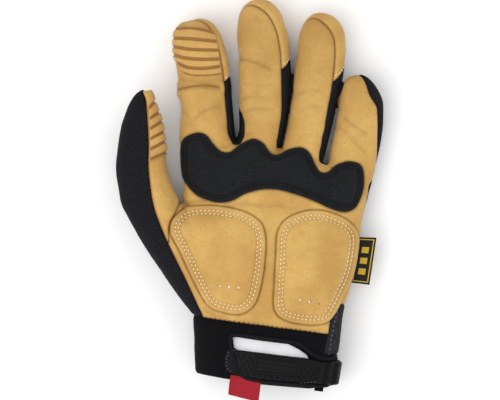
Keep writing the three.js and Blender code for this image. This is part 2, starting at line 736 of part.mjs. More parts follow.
// The pieces
const pieces = [
  ["palm_panel", palmPanel, "tan"],
  ["back_panel", backPanel, "knit"],
  ["gusset_index_middle", gussetWalls[0], "lycra"],
  ["gusset_middle_ring", gussetWalls[1], "lycra"],
  ["gusset_ring_little", gussetWalls[2], "lycra"],
  ["index_cap", capWalls[0], "tan"],
  ["middle_cap", capWalls[1], "tan"],
  ["ring_cap", capWalls[2], "tan"],
  ["thumb_front", thumbFront, "tan"],
  ["thumb_back", thumbBack, "knit"],
  ["knuckle_pad", knuckleCover, "suede"],
  ["thenar_pad", thenarPad, "tan"],
  ["hypothenar_pad", hypothenarPad, "tan"],
  ["side_gusset", sideGussetWall, "gusset"],
  ["cuff_band", cuffBand, "elastic"],
  ["opening_piping", openingPiping, "elastic"],
  ["wrist_strap", wristStrap, "rubber"],
  ["strap_patch", strapPatch, "rubber"],
  ["strap_end", strapEnd, "rubber"],
  ["inner_label", innerLabel, "lining"],
  ["pull_tab", pullTabLoop, "red"],
  ["cuff_tab", cuffTabPlate, "elastic"],
  ["side_label", sideLabel, "label"],
];

function meshOf([name, manifold, finish]) {
  const { vertProperties, triVerts } = manifold.getMesh();
  const geometry = new THREE.BufferGeometry();
  geometry.setAttribute("position", new THREE.BufferAttribute(vertProperties, 3));
  geometry.setIndex(new THREE.BufferAttribute(triVerts, 1));
  const mesh = new THREE.Mesh(geometry, new THREE.MeshStandardMaterial(finishes[finish]));
  mesh.name = name;
  return mesh;
}

const glove = new THREE.Group();
glove.add(...pieces.map(meshOf));

// The origin is the middle of the underside of the whole glove's box
const box = new THREE.Box3().setFromObject(glove);
const middle = box.getCenter(new THREE.Vector3());
glove.position.set(-middle.x, -middle.y, -box.min.z);

export default glove;
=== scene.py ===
import math

import bpy
import numpy as np
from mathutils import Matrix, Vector, kdtree
from mathutils.bvhtree import BVHTree


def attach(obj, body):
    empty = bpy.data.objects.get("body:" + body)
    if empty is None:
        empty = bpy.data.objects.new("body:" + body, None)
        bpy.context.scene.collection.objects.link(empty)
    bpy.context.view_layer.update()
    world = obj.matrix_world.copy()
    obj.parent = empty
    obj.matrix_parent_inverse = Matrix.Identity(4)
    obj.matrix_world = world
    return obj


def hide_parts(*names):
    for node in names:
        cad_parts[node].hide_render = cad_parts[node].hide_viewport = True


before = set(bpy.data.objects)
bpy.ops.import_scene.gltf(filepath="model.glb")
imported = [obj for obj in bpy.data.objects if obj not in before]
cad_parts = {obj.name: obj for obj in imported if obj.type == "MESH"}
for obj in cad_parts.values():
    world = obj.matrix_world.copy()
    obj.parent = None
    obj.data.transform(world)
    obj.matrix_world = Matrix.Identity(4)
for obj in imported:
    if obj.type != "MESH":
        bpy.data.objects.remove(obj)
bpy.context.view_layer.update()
print("frame loaded")

# Driving sizes, the same as the solids have
hand = {"width": 0.114, "length": 0.104, "depth": 0.042, "wrist": (0.0092, -0.07504)}
cuff = {"width": 0.084, "depth": 0.046, "height": 0.031, "lean": 7.5, "seam": -0.095}
form = {
    "sides": 96, "station": 0.001, "square": 2.4, "sunk": 0.0012, "voxel": 0.0008, "smooth": 8,
    "tip": 0.95, "tipRows": 14, "dome": 0.003, "slack": 0.0008, "slackSize": 0.016, "rest": 0.0005,
}
photo = {"wrist": (266, 330), "pixel": 0.00058, "size": (500, 400), "middle": (250, 200)}
nearby = 0.012  # how far an outline or a fold is felt
above = 0.09  # a height over the whole glove


# Places and outlines

def onHand(points):
    return np.array(points, float) * (hand["width"], hand["length"]) + hand["wrist"]


def onCuff(points):
    lean = math.radians(cuff["lean"])
    right, down = (np.array(points, float) * (cuff["width"], cuff["height"])).T
    x = right * math.cos(lean) - down * math.sin(lean)
    y = -right * math.sin(lean) - down * math.cos(lean)
    return np.column_stack((x, y)) + hand["wrist"]


def onPhoto(points):
    across, down = (np.array(points, float) - photo["wrist"]).T * photo["pixel"]
    return np.column_stack((across, -down)) + hand["wrist"]


def eased(knots, values, at):  # a smooth curve through the rows of a table, with no overshoot
    knots, values = np.asarray(knots, float), np.asarray(values, float)
    step = np.diff(knots)
    slope = np.diff(values) / step
    both = slope[1:] * slope[:-1]
    total = np.where(both > 0, slope[1:] + slope[:-1], 1)
    inner = np.where(both > 0, 2 * both / total, 0)
    tangent = np.concatenate((slope[:1], inner, slope[-1:]))
    i = np.clip(np.searchsorted(knots, at) - 1, 0, len(step) - 1)
    t = np.clip((at - knots[i]) / step[i], 0, 1)
    rise = values[i + 1] - values[i]
    low = tangent[i] * step[i]
    high = tangent[i + 1] * step[i]
    return values[i] + t * low + t**2 * (3 * rise - 2 * low - high) + t**3 * (low + high - 2 * rise)


def smoothstep(low, high, value):
    t = np.clip((value - low) / (high - low), 0, 1)
    return t * t * (3 - 2 * t)


def bell(distance, width):
    return np.exp(-((distance / width) ** 2))


def spaced(line, step, closed=False):
    ring = np.vstack((line, line[:1])) if closed else line
    run = np.concatenate(([0], np.cumsum(np.linalg.norm(np.diff(ring, axis=0), axis=1))))
    at = np.linspace(0, run[-1], max(2, round(run[-1] / step) + 1))
    even = np.column_stack([np.interp(at, run, ring[:, k]) for k in range(ring.shape[1])])
    return even[:-1] if closed else even


def smoothLine(points, closed=False, step=0.001):  # a curve through the points
    p = np.asarray(points, float)
    perSpan = 12
    if closed:
        ring = np.vstack((p[-1:], p, p[:2]))
    else:
        ring = np.vstack((2 * p[0] - p[1], p, 2 * p[-1] - p[-2]))
    t = np.linspace(0, 1, perSpan, endpoint=False)[:, None]
    parts = []
    for a, b, c, d in zip(ring, ring[1:], ring[2:], ring[3:]):
        curve = 2 * b + (c - a) * t + (2 * a - 5 * b + 4 * c - d) * t**2
        parts.append((curve + (3 * b - a - 3 * c + d) * t**3) / 2)
    return spaced(np.vstack(parts + ([] if closed else [p[-1:]])), step, closed)


def toLine(line, xy):  # distance to an open line, above 0 on the left of its direction
    best = np.full(len(xy), np.inf)
    side = np.ones(len(xy))
    for a, b in zip(line, line[1:]):
        way = b - a
        out = xy - a
        t = np.clip(out @ way / (way @ way), 0, 1)
        gap = np.hypot(*(out - t[:, None] * way).T)
        closer = gap < best
        best[closer] = gap[closer]
        side[closer] = np.where(way[0] * out[:, 1] - way[1] * out[:, 0] < 0, -1, 1)[closer]
    return best * side


def within(outline, xy):  # distance to a closed outline, above 0 inside it
    found = np.full(len(xy), -nearby)
    low, high = outline.min(0) - nearby, outline.max(0) + nearby
    near = np.flatnonzero(((xy > low) & (xy < high)).all(1))
    x, y = xy[near].T
    inside = np.zeros(len(near), bool)
    for a, b in zip(outline, np.roll(outline, -1, axis=0)):
        if a[1] != b[1]:
            crossed = a[0] + (y - a[1]) * (b[0] - a[0]) / (b[1] - a[1])
            inside ^= ((a[1] > y) != (b[1] > y)) & (x < crossed)
    gap = np.abs(toLine(np.vstack((outline, outline[:1])), xy[near]))
    found[near] = np.where(inside, gap, -gap)
    return found


def shifted(outline, distance):  # a closed outline moved inward
    before, after = np.roll(outline, 1, axis=0), np.roll(outline, -1, axis=0)
    way = after - before
    way /= np.linalg.norm(way, axis=1)[:, None]
    x, y = outline.T
    turn = np.sign(np.sum(x * np.roll(y, -1) - y * np.roll(x, -1)))
    return outline + turn * distance * np.column_stack((-way[:, 1], way[:, 0]))


# The hand form

palmRows = [  # along the palm, half widths to the left and right, thickness, tilt
    (0.14, 0.412, 0.393, 1.02, 8.5),
    (0.4, 0.447, 0.447, 0.96, 9.5),
    (0.55, 0.444, 0.474, 0.9, 10),
    (0.7, 0.428, 0.495, 0.83, 11),
    (0.94, 0.448, 0.542, 0.69, 12.5),
    (1.01, 0.42, 0.52, 0.5, 12.7),
]
cuffRows = [  # the same along the cuff, from below its edge up to the wrist seam
    (-1.6, 0.492, 0.478, 1, 7),
    (-1, 0.492, 0.478, 1, 7),
    (-0.5, 0.496, 0.492, 0.99, 7.5),
    (0, 0.506, 0.512, 0.96, 8.2),
]
digits = {  # rows: along, left, right, thickness. seams: along, roll, height
    "index": {
        "root": (-0.298, 1.054), "lean": -4.9, "length": 0.0707, "width": 0.0307, "depth": 0.024,
        "height": 0.0125, "curl": 0.009, "cap": (0.484, 25),
        "rows": [
            (-0.25, 0.3, 0.4, 0.7), (0, 0.53, 0.53, 1), (0.33, 0.44, 0.525, 0.98),
            (0.42, 0.49, 0.54, 0.97), (0.53, 0.44, 0.53, 0.97), (0.7, 0.472, 0.5, 0.95),
            (0.78, 0.477, 0.452, 0.92), (0.85, 0.466, 0.415, 0.86), (0.914, 0.425, 0.35, 0.74),
            (0.955, 0.37, 0.285, 0.6), (0.98, 0.3, 0.21, 0.43), (0.993, 0.19, 0.15, 0.28),
            (1, 0.03, 0.08, 0.12),
        ],
        "seams": [(-0.15, 18, 0.33), (0.3, 24, 0.22), (0.55, 28, 0.12), (0.8, 30, 0.14), (1.1, 30, 0.35)],
    },
    "middle": {
        "root": (-0.041, 1.015), "lean": 0.8, "length": 0.0858, "width": 0.0302, "depth": 0.024,
        "height": 0.0125, "curl": 0.007, "cap": (0.567, 39),
        "rows": [
            (-0.2, 0.3, 0.3, 0.7), (0, 0.43, 0.44, 1), (0.14, 0.355, 0.53, 0.97),
            (0.36, 0.39, 0.61, 1), (0.5, 0.39, 0.615, 1), (0.62, 0.39, 0.6, 1),
            (0.75, 0.427, 0.55, 0.97), (0.84, 0.42, 0.47, 0.89), (0.893, 0.4, 0.426, 0.8),
            (0.947, 0.325, 0.328, 0.62), (0.975, 0.245, 0.245, 0.46), (0.99, 0.175, 0.175, 0.32),
            (1, 0.08, 0.08, 0.12),
        ],
        "seams": [
            (-0.15, 0, 0.68), (0.16, 2, 0.66), (0.3, 20, 0.36), (0.55, 26, 0.3), (0.8, 28, 0.4),
            (1.1, 28, 1),
        ],
    },
    "ring": {
        "root": (0.178, 0.97), "lean": 8.1, "length": 0.0836, "width": 0.0296, "depth": 0.024,
        "height": 0.0125, "curl": 0.007, "cap": (0.594, 50),
        "rows": [
            (-0.2, 0.3, 0.3, 0.7), (0, 0.42, 0.44, 1), (0.3, 0.352, 0.535, 0.98),
            (0.6, 0.368, 0.6, 1), (0.76, 0.368, 0.57, 0.96), (0.85, 0.361, 0.522, 0.87),
            (0.9, 0.33, 0.47, 0.78), (0.945, 0.265, 0.38, 0.63), (0.975, 0.195, 0.275, 0.46),
            (0.99, 0.13, 0.2, 0.32), (1, 0.05, 0.08, 0.12),
        ],
        "seams": [(-0.15, 18, 0.36), (0.5, 27, 0.31), (0.8, 28, 0.38), (1.1, 28, 1)],
    },
    "little": {
        "root": (0.427, 0.859), "lean": 3.7, "length": 0.059, "width": 0.0261, "depth": 0.022,
        "height": 0.0115, "curl": 0.008, "cap": (2, 0),
        "rows": [
            (-0.3, 0.3, 0.34, 0.7), (0, 0.52, 0.52, 1), (0.24, 0.465, 0.6, 1),
            (0.48, 0.385, 0.65, 1), (0.64, 0.345, 0.641, 0.98), (0.73, 0.34, 0.62, 0.95),
            (0.81, 0.328, 0.55, 0.88), (0.9, 0.285, 0.42, 0.74), (0.955, 0.2, 0.3, 0.54),
            (0.985, 0.09, 0.195, 0.33), (1, -0.03, 0.11, 0.12),
        ],
        "seams": [
            (-0.3, 0, 0.1), (0, 0, -0.05), (0.36, 17, 0.13), (0.66, 22, 0.2), (0.8, 40, 0.18),
            (0.9, 50, 0), (1.1, 60, -0.24),
        ],
    },
    "thumb": {
        "root": (-0.458, 0.379), "lean": -10.6, "length": 0.1012, "width": 0.0296, "depth": 0.028,
        "height": 0.02, "curl": 0.012,
        "rows": [
            (-0.32, -0.15, 1, 1.1), (-0.05, 0.282, 0.655, 1.25), (0.132, 0.544, 0.532, 1.2),
            (0.293, 0.739, 0.356, 1.12), (0.413, 0.83, 0.22, 1.05), (0.554, 0.814, 0.165, 1),
            (0.7, 0.69, 0.218, 0.93), (0.821, 0.54, 0.222, 0.8), (0.87, 0.45, 0.195, 0.7),
            (0.92, 0.345, 0.17, 0.58), (0.96, 0.235, 0.15, 0.44), (0.985, 0.14, 0.125, 0.3),
            (1, 0.05, 0.05, 0.12),
        ],
    },
}
fingers = [digits[name] for name in ("index", "middle", "ring", "little")]


def digitWays(digit):
    lean = math.radians(digit["lean"])
    return np.array((math.sin(lean), math.cos(lean))), np.array((math.cos(lean), -math.sin(lean)))


def digitRoot(digit):
    return onHand([digit["root"]])[0]


def axisHeight(digit, along):
    return digit["height"] + digit["curl"] * np.maximum(along, 0) ** 2


def alongDigit(digit, co):  # share of the length, distance to the right and height over the axis
    forward, right = digitWays(digit)
    out = co[:, :2] - digitRoot(digit)
    along = out @ forward / digit["length"]
    return along, out @ right, co[:, 2] - axisHeight(digit, along)


def deselect():
    bpy.ops.object.select_all(action="DESELECT")


def meshPoints(piece):
    co = np.empty(len(piece.data.vertices) * 3)
    piece.data.vertices.foreach_get("co", co)
    return co.reshape(-1, 3)


def grid(name, across, along):  # with each point's share across and the row that it is in
    deselect()
    bpy.ops.mesh.primitive_grid_add(x_subdivisions=across, y_subdivisions=along, size=2)
    piece = bpy.context.object
    piece.name = name
    share, row = (meshPoints(piece)[:, :2].T + 1) / 2
    return piece, share, np.rint(row * along).astype(int)


def shaped(piece, co, sewn=False, faced=True, smooth=True):  # sewn: a tube closed along and at its ends
    piece.data.vertices.foreach_set("co", np.asarray(co).ravel())
    bpy.ops.object.mode_set(mode="EDIT")
    bpy.ops.mesh.select_all(action="SELECT")
    if sewn:
        bpy.ops.mesh.remove_doubles(threshold=1e-6)
        bpy.ops.mesh.fill_holes(sides=0)
    if faced:
        bpy.ops.mesh.normals_make_consistent(inside=False)
    if smooth:
        bpy.ops.mesh.faces_shade_smooth()
    bpy.ops.object.mode_set(mode="OBJECT")
    return piece


def tube(name, stations):  # stations: x, y, z, tilt in radians, half width, half depth
    piece, share, row = grid(name, form["sides"], len(stations) - 1)
    x, y, z, tilt, wide, deep = np.asarray(stations)[row].T
    right, up = np.cos(share * 2 * math.pi), np.sin(share * 2 * math.pi)
    right = np.sign(right) * np.abs(right) ** (2 / form["square"]) * wide
    up = np.sign(up) * np.abs(up) ** (2 / form["square"]) * deep
    co = np.column_stack((x + right * np.cos(tilt), y - right * np.sin(tilt), z + up))
    return shaped(piece, co, sewn=True, smooth=False)


def applied(piece, kind, **settings):
    bpy.context.view_layer.objects.active = piece
    modifier = piece.modifiers.new(kind.title(), kind)
    for name, value in settings.items():
        setattr(modifier, name, value)
    bpy.ops.object.modifier_apply(modifier=modifier.name)


def bodyTube():
    rows = []
    for table, width, length, depth in (
        (cuffRows, cuff["width"], cuff["height"], cuff["depth"]),
        (palmRows, hand["width"], hand["length"], hand["depth"]),
    ):
        for along, left, right, thick, tilt in table:
            middle = (right - left) / 2 * width
            rows.append((along * length, middle, (left + right) / 2 * width, thick * depth / 2, tilt))
    rows = np.array(rows)
    at = np.arange(rows[0, 0], rows[-1, 0], form["station"])
    middle, wide, deep, tilt = (eased(rows[:, 0], rows[:, k], at) for k in range(1, 5))
    tilt = np.radians(tilt)
    x = middle * np.cos(tilt) + hand["wrist"][0]
    y = at - middle * np.sin(tilt) + hand["wrist"][1]
    return tube("palmForm", np.column_stack((x, y, deep - form["sunk"], tilt, wide, deep)))


def digitTube(name, digit):
    rows = np.array(digit["rows"])
    forward, right = digitWays(digit)
    at = np.arange(rows[0, 0], form["tip"], form["station"] / digit["length"])
    at = np.concatenate((at, np.linspace(form["tip"], 1, form["tipRows"])))
    left, more, thick = (eased(rows[:, 0], rows[:, k], at) for k in (1, 2, 3))
    tip = np.linspace(0, math.pi / 2, 6)[1:-1]  # a small dome closes the tip
    at = np.concatenate((at, 1 + form["dome"] * np.sin(tip)))
    left, more, thick = (
        np.concatenate((value, value[-1] * np.cos(tip))) for value in (left, more, thick)
    )
    middle = (more - left) / 2 * digit["width"]
    place = digitRoot(digit) + at[:, None] * digit["length"] * forward + middle[:, None] * right
    return tube(name + "Form", np.column_stack((
        place, axisHeight(digit, at), np.full(len(at), math.radians(digit["lean"])),
        (left + more) / 2 * digit["width"], thick * digit["depth"] / 2,
    )))


def taken(piece):  # a piece's points with their normals, and its faces; the piece itself goes
    piece.data.update()
    co, normals = meshPoints(piece), np.empty(len(piece.data.vertices) * 3)
    piece.data.vertices.foreach_get("normal", normals)
    faces = np.empty(len(piece.data.polygons) * 3, int)
    piece.data.polygons.foreach_get("vertices", faces)
    bpy.data.objects.remove(piece)
    return np.hstack((co, normals.reshape(-1, 3))), faces.reshape(-1, 3)


def handForm():
    parts = [bodyTube()] + [digitTube(name, digit) for name, digit in digits.items()]
    for part in parts:
        part.select_set(True)
    bpy.context.view_layer.objects.active = parts[0]
    bpy.ops.object.join()
    skin = bpy.context.object
    applied(skin, "REMESH", mode="VOXEL", voxel_size=form["voxel"])
    applied(skin, "SMOOTH", factor=0.5, iterations=form["smooth"])
    clouds = bpy.data.textures.new("slackLeather", "CLOUDS")
    clouds.noise_scale = form["slackSize"]
    applied(skin, "DISPLACE", texture=clouds, strength=form["slack"], mid_level=0.5)
    applied(skin, "TRIANGULATE")
    co = meshPoints(skin)
    co[:, 2] = (co[:, 2] + np.sqrt(co[:, 2] ** 2 + form["rest"] ** 2)) / 2  # flattened where it lies
    skin.data.vertices.foreach_set("co", co.ravel())
    return taken(skin)


skin, skinFaces = handForm()
print("hand form:", len(skin), "points")


# Cutting and finishing panels

def compact(points, faces):
    used, faces = np.unique(faces, return_inverse=True)
    return points[used], faces.reshape(-1, 3), used


def clip(points, faces, value):  # what lies where value is above 0, cut along the line of 0
    keep = value[faces] > 0
    count = keep.sum(1)
    made = [faces[count == 3]]
    pairs, cuts = [], []
    for kept in (1, 2):
        mixed, kind = faces[count == kept], keep[count == kept]
        odd = np.argmax(kind == (kept == 1), axis=1)
        rows = np.arange(len(mixed))
        a, b, c = (mixed[rows, (odd + k) % 3] for k in range(3))
        pairs += [np.column_stack((a, b)), np.column_stack((a, c))]
        cuts.append((a, b, c))
    pairs = np.sort(np.vstack(pairs), axis=1)
    unique, place = np.unique(pairs, axis=0, return_inverse=True)
    low, high = value[unique[:, 0]], value[unique[:, 1]]
    t = (low / (low - high))[:, None]
    fresh = points[unique[:, 0]] * (1 - t) + points[unique[:, 1]] * t
    place = place.ravel() + len(points)
    n1, n2 = len(cuts[0][0]), len(cuts[1][0])
    ab1, ac1, ab2, ac2 = np.split(place, (n1, 2 * n1, 2 * n1 + n2))
    made.append(np.column_stack((cuts[0][0], ab1, ac1)))
    made.append(np.column_stack((ab2, cuts[1][1], cuts[1][2])))
    made.append(np.column_stack((ab2, cuts[1][2], ac2)))
    cut, faces, used = compact(np.vstack((points, fresh)), np.vstack(made))
    return cut, faces, used >= len(points)


def refined(points, faces):  # each triangle made four
    edges = np.sort(np.vstack((faces[:, [0, 1]], faces[:, [1, 2]], faces[:, [2, 0]])), axis=1)
    unique, place = np.unique(edges, axis=0, return_inverse=True)
    middle = (points[unique[:, 0]] + points[unique[:, 1]]) / 2
    ab, bc, ca = np.split(place.ravel() + len(points), 3)
    a, b, c = faces.T
    made = np.vstack([np.column_stack(f) for f in ((a, ab, ca), (ab, b, bc), (ca, bc, c), (ab, bc, ca))])
    return np.vstack((points, middle)), made


def outward(points):
    normal = points[:, 3:6]
    return normal / np.linalg.norm(normal, axis=1)[:, None]


def meshPiece(name, co, faces, shade=None):
    mesh = bpy.data.meshes.new(name)
    mesh.vertices.add(len(co))
    mesh.vertices.foreach_set("co", np.asarray(co, np.float32).ravel())
    mesh.loops.add(faces.size)
    mesh.loops.foreach_set("vertex_index", faces.astype(np.int32).ravel())
    mesh.polygons.add(len(faces))
    mesh.polygons.foreach_set("loop_start", np.arange(0, faces.size, faces.shape[1], dtype=np.int32))
    mesh.update(calc_edges=True)
    mesh.validate()
    mesh.polygons.foreach_set("use_smooth", np.ones(len(mesh.polygons), bool))
    if shade is not None:
        mesh.attributes.new("shade", "FLOAT", "POINT").data.foreach_set(
            "value", np.asarray(shade, np.float32)
        )
    piece = bpy.data.objects.new(name, mesh)
    bpy.context.scene.collection.objects.link(piece)
    return piece


def listedPiece(name, co, faces, smooth=True):  # for faces of more than one size
    mesh = bpy.data.meshes.new(name)
    mesh.from_pydata(np.vstack(co).tolist(), [], faces)
    mesh.polygons.foreach_set("use_smooth", np.full(len(mesh.polygons), smooth))
    piece = bpy.data.objects.new(name, mesh)
    bpy.context.scene.collection.objects.link(piece)
    return piece


def settled(piece, material, node=None):  # every piece gets its finish and body here
    piece.data.materials.clear()
    piece.data.materials.append(material)
    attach(piece, "root")
    if node:
        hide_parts(node)
    return piece


def surfaceOf(*pieces):  # what a stitch or a trim is laid on
    co, faces = [], []
    for piece in pieces:
        start = sum(len(part) for part in co)
        co.append(meshPoints(piece))
        faces.extend([start + i for i in face.vertices] for face in piece.data.polygons)
    return BVHTree.FromPolygons(np.vstack(co).tolist(), faces)


def dropped(tree, xy):  # the point of a surface under a place, and its normal
    spot, normal, _, _ = tree.ray_cast(Vector((xy[0], xy[1], above)), Vector((0, 0, -1)))
    return spot, normal


skinTree = BVHTree.FromPolygons(skin[:, :3].tolist(), skinFaces.tolist())


# Materials

def rgb(red, green, blue):
    share = [c / 255 for c in (red, green, blue)]
    return tuple(c / 12.92 if c <= 0.04045 else ((c + 0.055) / 1.055) ** 2.4 for c in share) + (1,)


class Wire:  # a socket that takes part in sums
    def __init__(self, finish, socket):
        self.finish = finish
        self.socket = socket

    def sum(self, operation, *values):
        return self.finish.node("Math", {"operation": operation}, dict(enumerate(values)))

    def __add__(self, other):
        return self.sum("ADD", self, other)

    def __sub__(self, other):
        return self.sum("SUBTRACT", self, other)

    def __rsub__(self, other):
        return self.sum("SUBTRACT", other, self)

    def __mul__(self, other):
        return self.sum("MULTIPLY", self, other)

    def __gt__(self, other):
        return self.sum("GREATER_THAN", self, other)

    __radd__ = __add__
    __rmul__ = __mul__


class Finish:  # one material and the nodes in it
    def __init__(self, name, **fixed):
        self.material = bpy.data.materials.new(name)
        self.material.use_nodes = True
        self.tree = self.material.node_tree
        self.shader = self.tree.nodes["Principled BSDF"]
        for socket, value in fixed.items():
            self.shader.inputs[socket.replace("_", " ")].default_value = value
        self.place = self.node("TexCoord", out="Object")

    def node(self, kind, settings=None, sockets=None, out=0):
        node = self.tree.nodes.new("ShaderNode" + kind)
        for name, value in (settings or {}).items():
            setattr(node, name, value)
        for name, value in (sockets or {}).items():
            if isinstance(value, Wire):
                self.tree.links.new(value.socket, node.inputs[name])
            else:
                node.inputs[name].default_value = value
        return Wire(self, node.outputs[out])

    def feed(self, socket, wire):
        self.tree.links.new(wire.socket, self.shader.inputs[socket])

    def noise(self, scale, detail=3):
        return self.node("TexNoise", {}, {"Vector": self.place, "Scale": scale, "Detail": detail})

    def turned(self, degrees):
        turn = (0, 0, math.radians(degrees))
        return self.node("Mapping", {}, {"Vector": self.place, "Rotation": turn})

    def axes(self, place):
        return [self.node("SeparateXYZ", {}, {0: place}, out=k) for k in range(3)]

    def wave(self, value, pitch, kind="SINE"):
        return value.sum(kind, value * (2 * math.pi / pitch))

    def ramp(self, value, low, high):
        sockets = {"Value": value, "From Min": low, "From Max": high}
        return self.node("MapRange", {"clamp": True}, sockets)

    def blend(self, factor, first, second):
        return self.node("Mix", {"data_type": "RGBA"}, {0: factor, 6: first, 7: second}, out=2)

    def shade(self):
        return self.node("Attribute", {"attribute_name": "shade"}, out="Fac")

    def made(self, base, rough, height, depth, strength=1.0):
        bump = {"Height": height, "Distance": depth, "Strength": strength}
        self.feed("Base Color", base)
        self.feed("Roughness", rough)
        self.feed("Normal", self.node("Bump", {}, bump))
        return self.material


def leather(name, light, dark, seam, tone=1.0):
    finish = Finish(name, Specular_IOR_Level=0.35, Sheen_Weight=0.12, Sheen_Roughness=0.5)
    cloudy = finish.ramp(finish.noise(38, 3), 0.38, 0.62)
    speckle = finish.ramp(finish.noise(900, 2), 0.3, 0.75)
    base = finish.blend(cloudy, light, dark)
    base = finish.blend(speckle * 0.35, base, rgb(165, 122, 60))
    base = finish.blend(finish.ramp(finish.noise(170, 4), 0.5, 0.75) * 0.35, base, rgb(174, 126, 62))
    # darker towards the seam colour where the shade attribute is set: the seams' own dark line, and
    # painted shade in folds, grooves, stitch channels, at pad edges and towards the fingertips
    base = finish.blend(finish.ramp(finish.shade(), 0, 1) * tone, base, seam)
    grain = finish.node("TexVoronoi", {"feature": "SMOOTH_F1"}, {
        "Vector": finish.place, "Scale": 1050, "Smoothness": 0.4,
    })
    height = grain * 0.5 + finish.noise(2600, 2) * 0.5 + finish.noise(330, 3) * 1.6
    height = height + finish.noise(110, 4) * 4
    return finish.made(base, 0.62 + 0.2 * finish.noise(260, 2), height, 0.00019, 0.85)


def cloth(name, colour, lift, pitch, depth, rough=0.9, lean=0, nap=0.25, fluff=1.1, **fixed):
    finish = Finish(name, Specular_IOR_Level=0.08, **fixed)
    x, y, z = finish.axes(finish.turned(lean))
    across = finish.wave(x + z * 0.9, pitch)
    down = finish.wave(y + across * (pitch * 0.12), pitch * 1.25)
    fuzz = finish.noise(1500, 3)
    height = across * 0.5 + down * 0.35 + fuzz * fluff
    # painted light and shade: the weave's ridges lighter and its hollows darker, mixed with the yarn's
    # random fuzz
    base = finish.blend(finish.ramp(height, -0.2, 1.5), colour, lift)
    base = finish.blend(finish.ramp(finish.noise(120, 3), 0.3, 0.8) * nap, base, lift)
    base = finish.blend(finish.ramp(finish.shade(), 0, 1) * 0.6, base, rgb(8, 8, 9))
    return finish.made(base, rough - 0.1 * fuzz, height, depth)


def suede():
    finish = Finish("blackSuede", Specular_IOR_Level=0.1, Sheen_Weight=0.05, Sheen_Roughness=0.6)
    nap = finish.noise(1400, 4)
    patch = finish.ramp(finish.noise(60, 4), 0.3, 0.75)
    base = finish.blend(finish.ramp(nap, 0.42, 0.72), rgb(14, 15, 17), rgb(36, 38, 42))
    base = finish.blend(patch * 0.35, base, rgb(32, 34, 37))
    # painted shade at the pad's rim and in its stitch channels
    base = finish.blend(finish.ramp(finish.shade(), 0, 1) * 0.85, base, rgb(6, 6, 7))
    return finish.made(base, 0.85 + 0.1 * nap, nap + finish.noise(300, 3), 0.00015)


def rubber():
    finish = Finish("strapRubber", Specular_IOR_Level=0.15)
    x, y, _ = finish.axes(finish.turned(cuff["lean"]))
    dimple = finish.wave(x, 0.0034, "COSINE") * finish.wave(y, 0.0048, "COSINE")
    # painted shade in the pits of the dimples
    pit = finish.ramp(dimple, 0.1, 0.6) * finish.shade()
    base = finish.blend(pit, rgb(9, 9, 11), rgb(1, 1, 2))
    base = finish.blend(finish.ramp(finish.noise(500, 3), 0.3, 0.8) * 0.3, base, rgb(16, 16, 18))
    rough = 0.52 + 0.2 * finish.noise(300, 2)
    return finish.made(base, rough, finish.noise(1500, 2) * 0.15 - pit, 0.0003)


def lining():
    finish = Finish("whiteCloth", Specular_IOR_Level=0.3)
    x, y, _ = finish.axes(finish.turned(cuff["lean"]))
    weave = finish.wave(x, 0.0006) + finish.wave(y, 0.0006)
    cloudy = finish.ramp(finish.noise(90, 3), 0.3, 0.8)
    base = finish.blend(cloudy, rgb(246, 246, 248), rgb(232, 232, 236))
    rough = 0.85 - 0.1 * finish.noise(200, 2)
    return finish.made(base, rough, weave * 0.3 + finish.noise(160, 3), 0.0002)


def thread(name, colour, dark, sheen=0.2):
    finish = Finish(name, Specular_IOR_Level=0.3, Sheen_Weight=sheen)
    fibre = finish.noise(2200, 3)
    base = finish.blend(finish.ramp(fibre, 0.3, 0.7), dark, colour)
    return finish.made(base, 0.7 + 0.2 * fibre, fibre, 0.0001)


def labelWeave():  # a plain gold border and three bars, laid out on the label's own UV
    finish = Finish("wovenLabel", Specular_IOR_Level=0.3)
    u, v, _ = finish.axes(finish.node("TexCoord", out="UV"))
    x, y, _ = finish.axes(finish.place)

    def between(value, low, high):
        return (value > low) * (1 - (value > high))

    inner = between(u, 0.3, 0.93) * between(v, 0.04, 0.96)
    hollow = between(u, 0.33, 0.885) * between(v, 0.06, 0.94)
    bars = sum(between(v, at, at + 0.13) for at in (0.2, 0.43, 0.66)) * between(u, 0.47, 0.76)
    gold = inner * (1 - hollow) + bars
    weft = finish.ramp(finish.wave(y + x * 0.3, 0.0005), -1, 1)
    thick = finish.noise(1800, 2)
    base = finish.blend(gold, rgb(22, 21, 20), rgb(214, 178, 52))
    base = finish.blend(weft * 0.35, base, rgb(10, 9, 8))
    return finish.made(base, 0.6 + 0.2 * thick, weft + thick, 0.0001)


tan = leather("tanLeather", rgb(206, 166, 92), rgb(188, 146, 75), rgb(104, 64, 24))
tanRibs = leather("tanRibs", rgb(204, 163, 90), rgb(190, 147, 79), rgb(138, 92, 40), 0.95)
knit = cloth("blackKnit", rgb(3, 3, 4), rgb(36, 36, 41), 0.0013, 0.0004, lean=28, nap=0.4, fluff=2.2)
stretch = cloth("blackStretch", rgb(14, 14, 17), rgb(28, 29, 33), 0.0006, 0.00006, 0.65, nap=0.5)
napped = suede()
elastic = cloth("blackElastic", rgb(3, 3, 4), rgb(21, 21, 23), 0.0009, 0.00018, lean=cuff["lean"])
binding = cloth("blackBinding", rgb(8, 8, 9), rgb(30, 30, 33), 0.0007, 0.0001, 0.7, lean=40)
grey = cloth("greyCloth", rgb(28, 28, 31), rgb(52, 51, 56), 0.0008, 0.00012, lean=8)
webbing = cloth("redWebbing", rgb(136, 24, 33), rgb(168, 45, 54), 0.0009, 0.00014, 0.8, lean=52)
moulded = rubber()
white = lining()
cream = thread("creamThread", rgb(246, 228, 196), rgb(214, 186, 140))
dark = thread("darkThread", rgb(12, 12, 13), rgb(4, 4, 5), 0)
ash = thread("greyThread", rgb(104, 102, 106), rgb(60, 58, 62))
label = labelWeave()
pink = thread("pinkLining", rgb(250, 222, 208), rgb(228, 176, 150))
print("materials made")


# Panels of the hand form. Each is the place where its own field is above 0.

